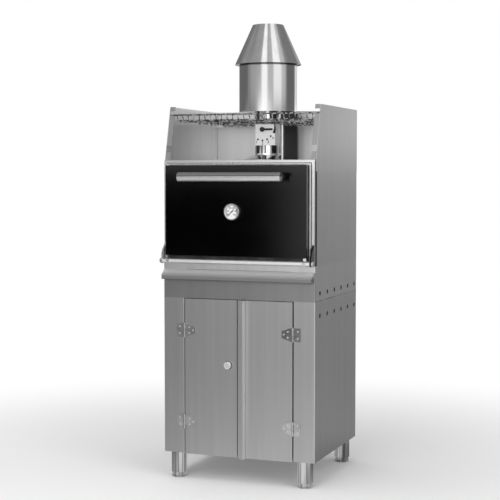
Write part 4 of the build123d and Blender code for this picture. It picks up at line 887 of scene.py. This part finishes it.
def carry_uv(thing, points, run, turn):
    """UV named path: metres along the rope, and the part of a turn round it, at each corner's point."""
    mesh = thing.data
    count = len(mesh.loops)
    corner = np.zeros(count, int)
    mesh.loops.foreach_get("vertex_index", corner)
    flat = points.reshape(-1, 3)
    placed = np.zeros(len(mesh.vertices) * 3)
    mesh.vertices.foreach_get("co", placed)
    order = np.lexsort(flat.round(6).T)
    again = np.lexsort(placed.reshape(-1, 3).round(6).T)
    source = np.zeros(len(flat), int)
    source[again] = order
    row, column = np.divmod(source, len(turn))
    uv = np.stack([run[row], turn[column] / (2 * np.pi)], axis=1)[corner]
    mesh.uv_layers.new(name="path").data.foreach_set("uv", uv.ravel())


rope = rope_seal("door_gasket", width=0.012, thick=0.0026, corner=0.03)
kept(rope, "oven", rope_finish)
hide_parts("door_gasket")


# Studio: floor, a bowl that only reflections see, lamps and world


def flat_rings(name, radii, sides, height=0.0):
    """Flat rings round the origin: a point is at a radius and an angle, and all are at one height."""
    r = np.asarray(radii)[:, None]
    angle = np.linspace(0, 2 * np.pi, sides, endpoint=False)
    points = np.stack([r * np.cos(angle), r * np.sin(angle), 0 * r + 0 * angle + height], axis=2)
    return surface(name, points, smooth=False)


def floor(radius=30.0):
    """Flat disc of rings that widen outwards as the square of their count."""
    return flat_rings("floor", radius * np.linspace(0, 1, 24) ** 2, 48)


def floor_finish(pale_to=0.9, white_from=3.2):
    """Pale floor that fades to plain white away from the object; only what is seen turns white."""
    made, g = material("pale_floor")
    distance = g.add("VectorMath", {"operation": "LENGTH"}, {0: g.place()}, "Value")
    paint = g.add("BsdfDiffuse", {}, {"Color": shade(0.88)})
    white = g.add("Emission", {}, {"Color": shade(1.0), "Strength": 1.0})
    fade = distance.between(pale_to, white_from) * g.in_sight()
    g.finish(g.add("MixShader", {}, {0: fade, 1: paint, 2: white}))
    return made


ground = floor()
assign(ground, floor_finish())


BOWL_RADIUS = 4.5
BOWL_LIFT = 0.003


def bowl_floor(inner=0.02):
    """Flat ring just over the floor."""
    return flat_rings("bowl_floor", np.linspace(inner, BOWL_RADIUS, 12), 96, BOWL_LIFT)


def bowl_wall(height=6.0, rise=1.5):
    """Round wall with a low dome: past the height the radius shrinks as the cosine of the climb."""
    climb = np.radians(np.linspace(0, 90, 10))
    r = np.concatenate([np.full(8, BOWL_RADIUS), BOWL_RADIUS * np.cos(climb[1:])])[:, None]
    z = np.concatenate([np.linspace(BOWL_LIFT, height, 8), height + rise * np.sin(climb[1:])])[:, None]
    angle = np.linspace(0, 2 * np.pi, 96, endpoint=False)
    points = np.stack([r * np.cos(angle), r * np.sin(angle), z + 0 * angle], axis=2)
    return surface("bowl_wall", points)


# Light that metal finds in the bowl: rows of (heading, level), heading in degrees from the front
# towards the right, and where one row runs into the next
BENEATH = ((-180, 0.55), (180, 0.55))
UNDER_FLOOR = (
    (-180, 0.18), (-100, 0.18), (-60, 0.4), (-20, 0.68), (30, 0.75), (70, 0.32), (100, 0.18), (180, 0.18),
)
NEAR_FLOOR = (
    (-180, 0.3), (-90, 0.28), (-45, 0.36), (-30, 0.46), (-12, 0.58), (5, 0.72), (40, 0.75), (90, 0.4),
    (180, 0.3),
)
FAR_FLOOR = (
    (-180, 0.3), (-90, 0.12), (-45, 0.14), (-28, 0.18), (-12, 0.31), (10, 0.5), (60, 0.6), (90, 0.2),
    (180, 0.3),
)
LOW = (
    (-180, 0.34), (-90, 0.1), (-30, 0.26), (-25, 0.34), (-21, 0.1), (-18, 0.05), (-11, 0.3), (10, 0.55),
    (60, 0.6), (90, 0.2), (180, 0.34),
)
DOOR_HIGH = (
    (-180, 0.48), (-150, 0.2), (-60, 0.01), (-17, 0.01), (-12, 1.1), (8, 1.2), (14, 0.67), (40, 0.67),
    (44, 1.35), (70, 1.3), (86, 0.9), (91, 0.19), (148, 0.19), (156, 0.5), (180, 0.5),
)
FRAME_HIGH = (
    (-180, 0.45), (-150, 0.2), (-84, 0.2), (-78, 0.5), (-34, 0.9), (-28, 1.35), (-12, 1.4), (28, 1.2),
    (45, 0.5), (80, 0.5), (91, 0.2), (148, 0.2), (156, 0.5), (180, 0.5),
)
BAY_HIGH = (
    (-180, 0.4), (-150, 0.2), (-84, 0.2), (-78, 0.5), (-58, 0.25), (-34, 0.3), (-28, 0.6), (-22, 1.1),
    (-14, 2.2), (28, 1.6), (38, 0.9), (45, 0.35), (80, 0.35), (91, 0.2), (148, 0.2), (156, 1.5), (180, 1.3),
)
PIPE_HIGH = (
    (-180, 0.45), (-150, 0.19), (-72, 0.19), (-66, 0.35), (-56, 0.42), (-46, 0.57), (-12, 0.62), (-7, 0.75),
    (-3, 1.5), (16, 1.5), (19, 0.65), (41, 0.68), (44, 1.48), (74, 1.45), (77, 0.85), (92, 0.75), (99, 0.35),
    (104, 0.2), (148, 0.19), (156, 1.0), (180, 0.9),
)
OVER_PIPE = (
    (-180, 0.45), (-150, 0.2), (-82, 0.2), (-60, 0.4), (-28, 0.2), (-8, 0.2), (0, 1.3), (10, 1.3),
    (40, 0.7), (70, 1.0), (91, 0.2), (148, 0.2), (156, 0.6), (180, 0.5),
)
UPPER = (
    (-180, 0.25), (-110, 0.25), (-90, 0.4), (-50, 0.35), (-32, 0.2), (-8, 0.2), (6, 0.95), (34, 1.0),
    (56, 0.55), (80, 0.4), (100, 0.3), (180, 0.25),
)
OVERHEAD = (
    (-180, 0.25), (-110, 0.2), (-88, 0.2), (-70, 0.34), (-53, 0.45), (-13, 0.52), (-8, 1.45), (13, 1.45),
    (18, 0.55), (30, 0.67), (41, 0.7), (45, 1.45), (74, 1.4), (78, 0.85), (92, 0.75), (99, 0.42), (112, 0.28),
    (180, 0.25),
)


def glow(name, upright, first, *rest, peak=1.5):
    """Light that only reflections see, by heading, in bands up the wall or outwards on the floor.

    Each of the rest is (low, high, row): from low to high its row takes over from the one before.
    """
    made, g = material(name)
    x, y = g.axis("X"), g.axis("Y")
    heading = x.maths("ARCTAN2", x, 0 - y) / (2 * np.pi) + 0.5
    measure = g.axis("Z") if upright else (x * x + y * y) ** 0.5

    def ramp(row):
        stops = [((angle + 180) / 360, level / peak) for angle, level in row]
        return g.add("ValToRGB", {"stops": stops}, {"Fac": heading})

    light = ramp(first)
    for low, high, row in rest:
        light = g.mix(measure.between(low, high), light, ramp(row))
    g.finish(g.add("Emission", {}, {"Color": light, "Strength": peak}))
    return made


FLOOR_BANDS = (BENEATH, (0.36, 0.46, UNDER_FLOOR), (0.85, 1.05, NEAR_FLOOR), (1.05, 4.3, FAR_FLOOR))
WALL_BANDS = (
    LOW,
    (0.6, 0.85, DOOR_HIGH),
    (1.5, 1.58, FRAME_HIGH),
    (1.63, 1.69, BAY_HIGH),
    (2.02, 2.12, PIPE_HIGH),
    (2.5, 2.7, OVER_PIPE),
    (3.2, 4.3, UPPER),
    (5.6, 6.5, OVERHEAD),
)
for shell, upright, bands in ((bowl_floor(), False, FLOOR_BANDS), (bowl_wall(), True, WALL_BANDS)):
    assign(shell, glow(shell.name, upright, *bands))
    for ray in ("camera", "diffuse", "transmission", "shadow", "volume_scatter"):
        setattr(shell, "visible_" + ray, False)


def soft_box(name, place, width, height, power, target=(0, 0, 1.1)):
    """Area lamp aimed at the object; reflections show the wall's own boxes instead of it."""
    lamp = bpy.data.lights.new(name, "AREA")
    lamp.shape = "RECTANGLE"
    lamp.size, lamp.size_y = width, height
    lamp.energy = power
    made = bpy.data.objects.new(name, lamp)
    bpy.context.scene.collection.objects.link(made)
    aim(made, place, target)
    made.visible_camera = False
    made.visible_glossy = False


soft_box("front_box", place=(-0.2, -4.2, 2.6), width=2.2, height=3.0, power=60)
soft_box("right_box", place=(3.6, -2.2, 2.8), width=2.2, height=3.0, power=50)
soft_box("top_box", place=(-0.6, -0.4, 4.6), width=3.0, height=3.0, power=60)

world = bpy.data.worlds.new("studio")
bpy.context.scene.world = world
world.use_nodes = True
sky = Graph(world.node_tree)
level = sky.mix(sky.in_sight(), shade(0.55), shade(1.0))
sky.add("OutputWorld", {}, {"Surface": sky.add("Background", {}, {"Color": level, "Strength": 1.0})})

bpy.context.scene.view_settings.view_transform = "Standard"
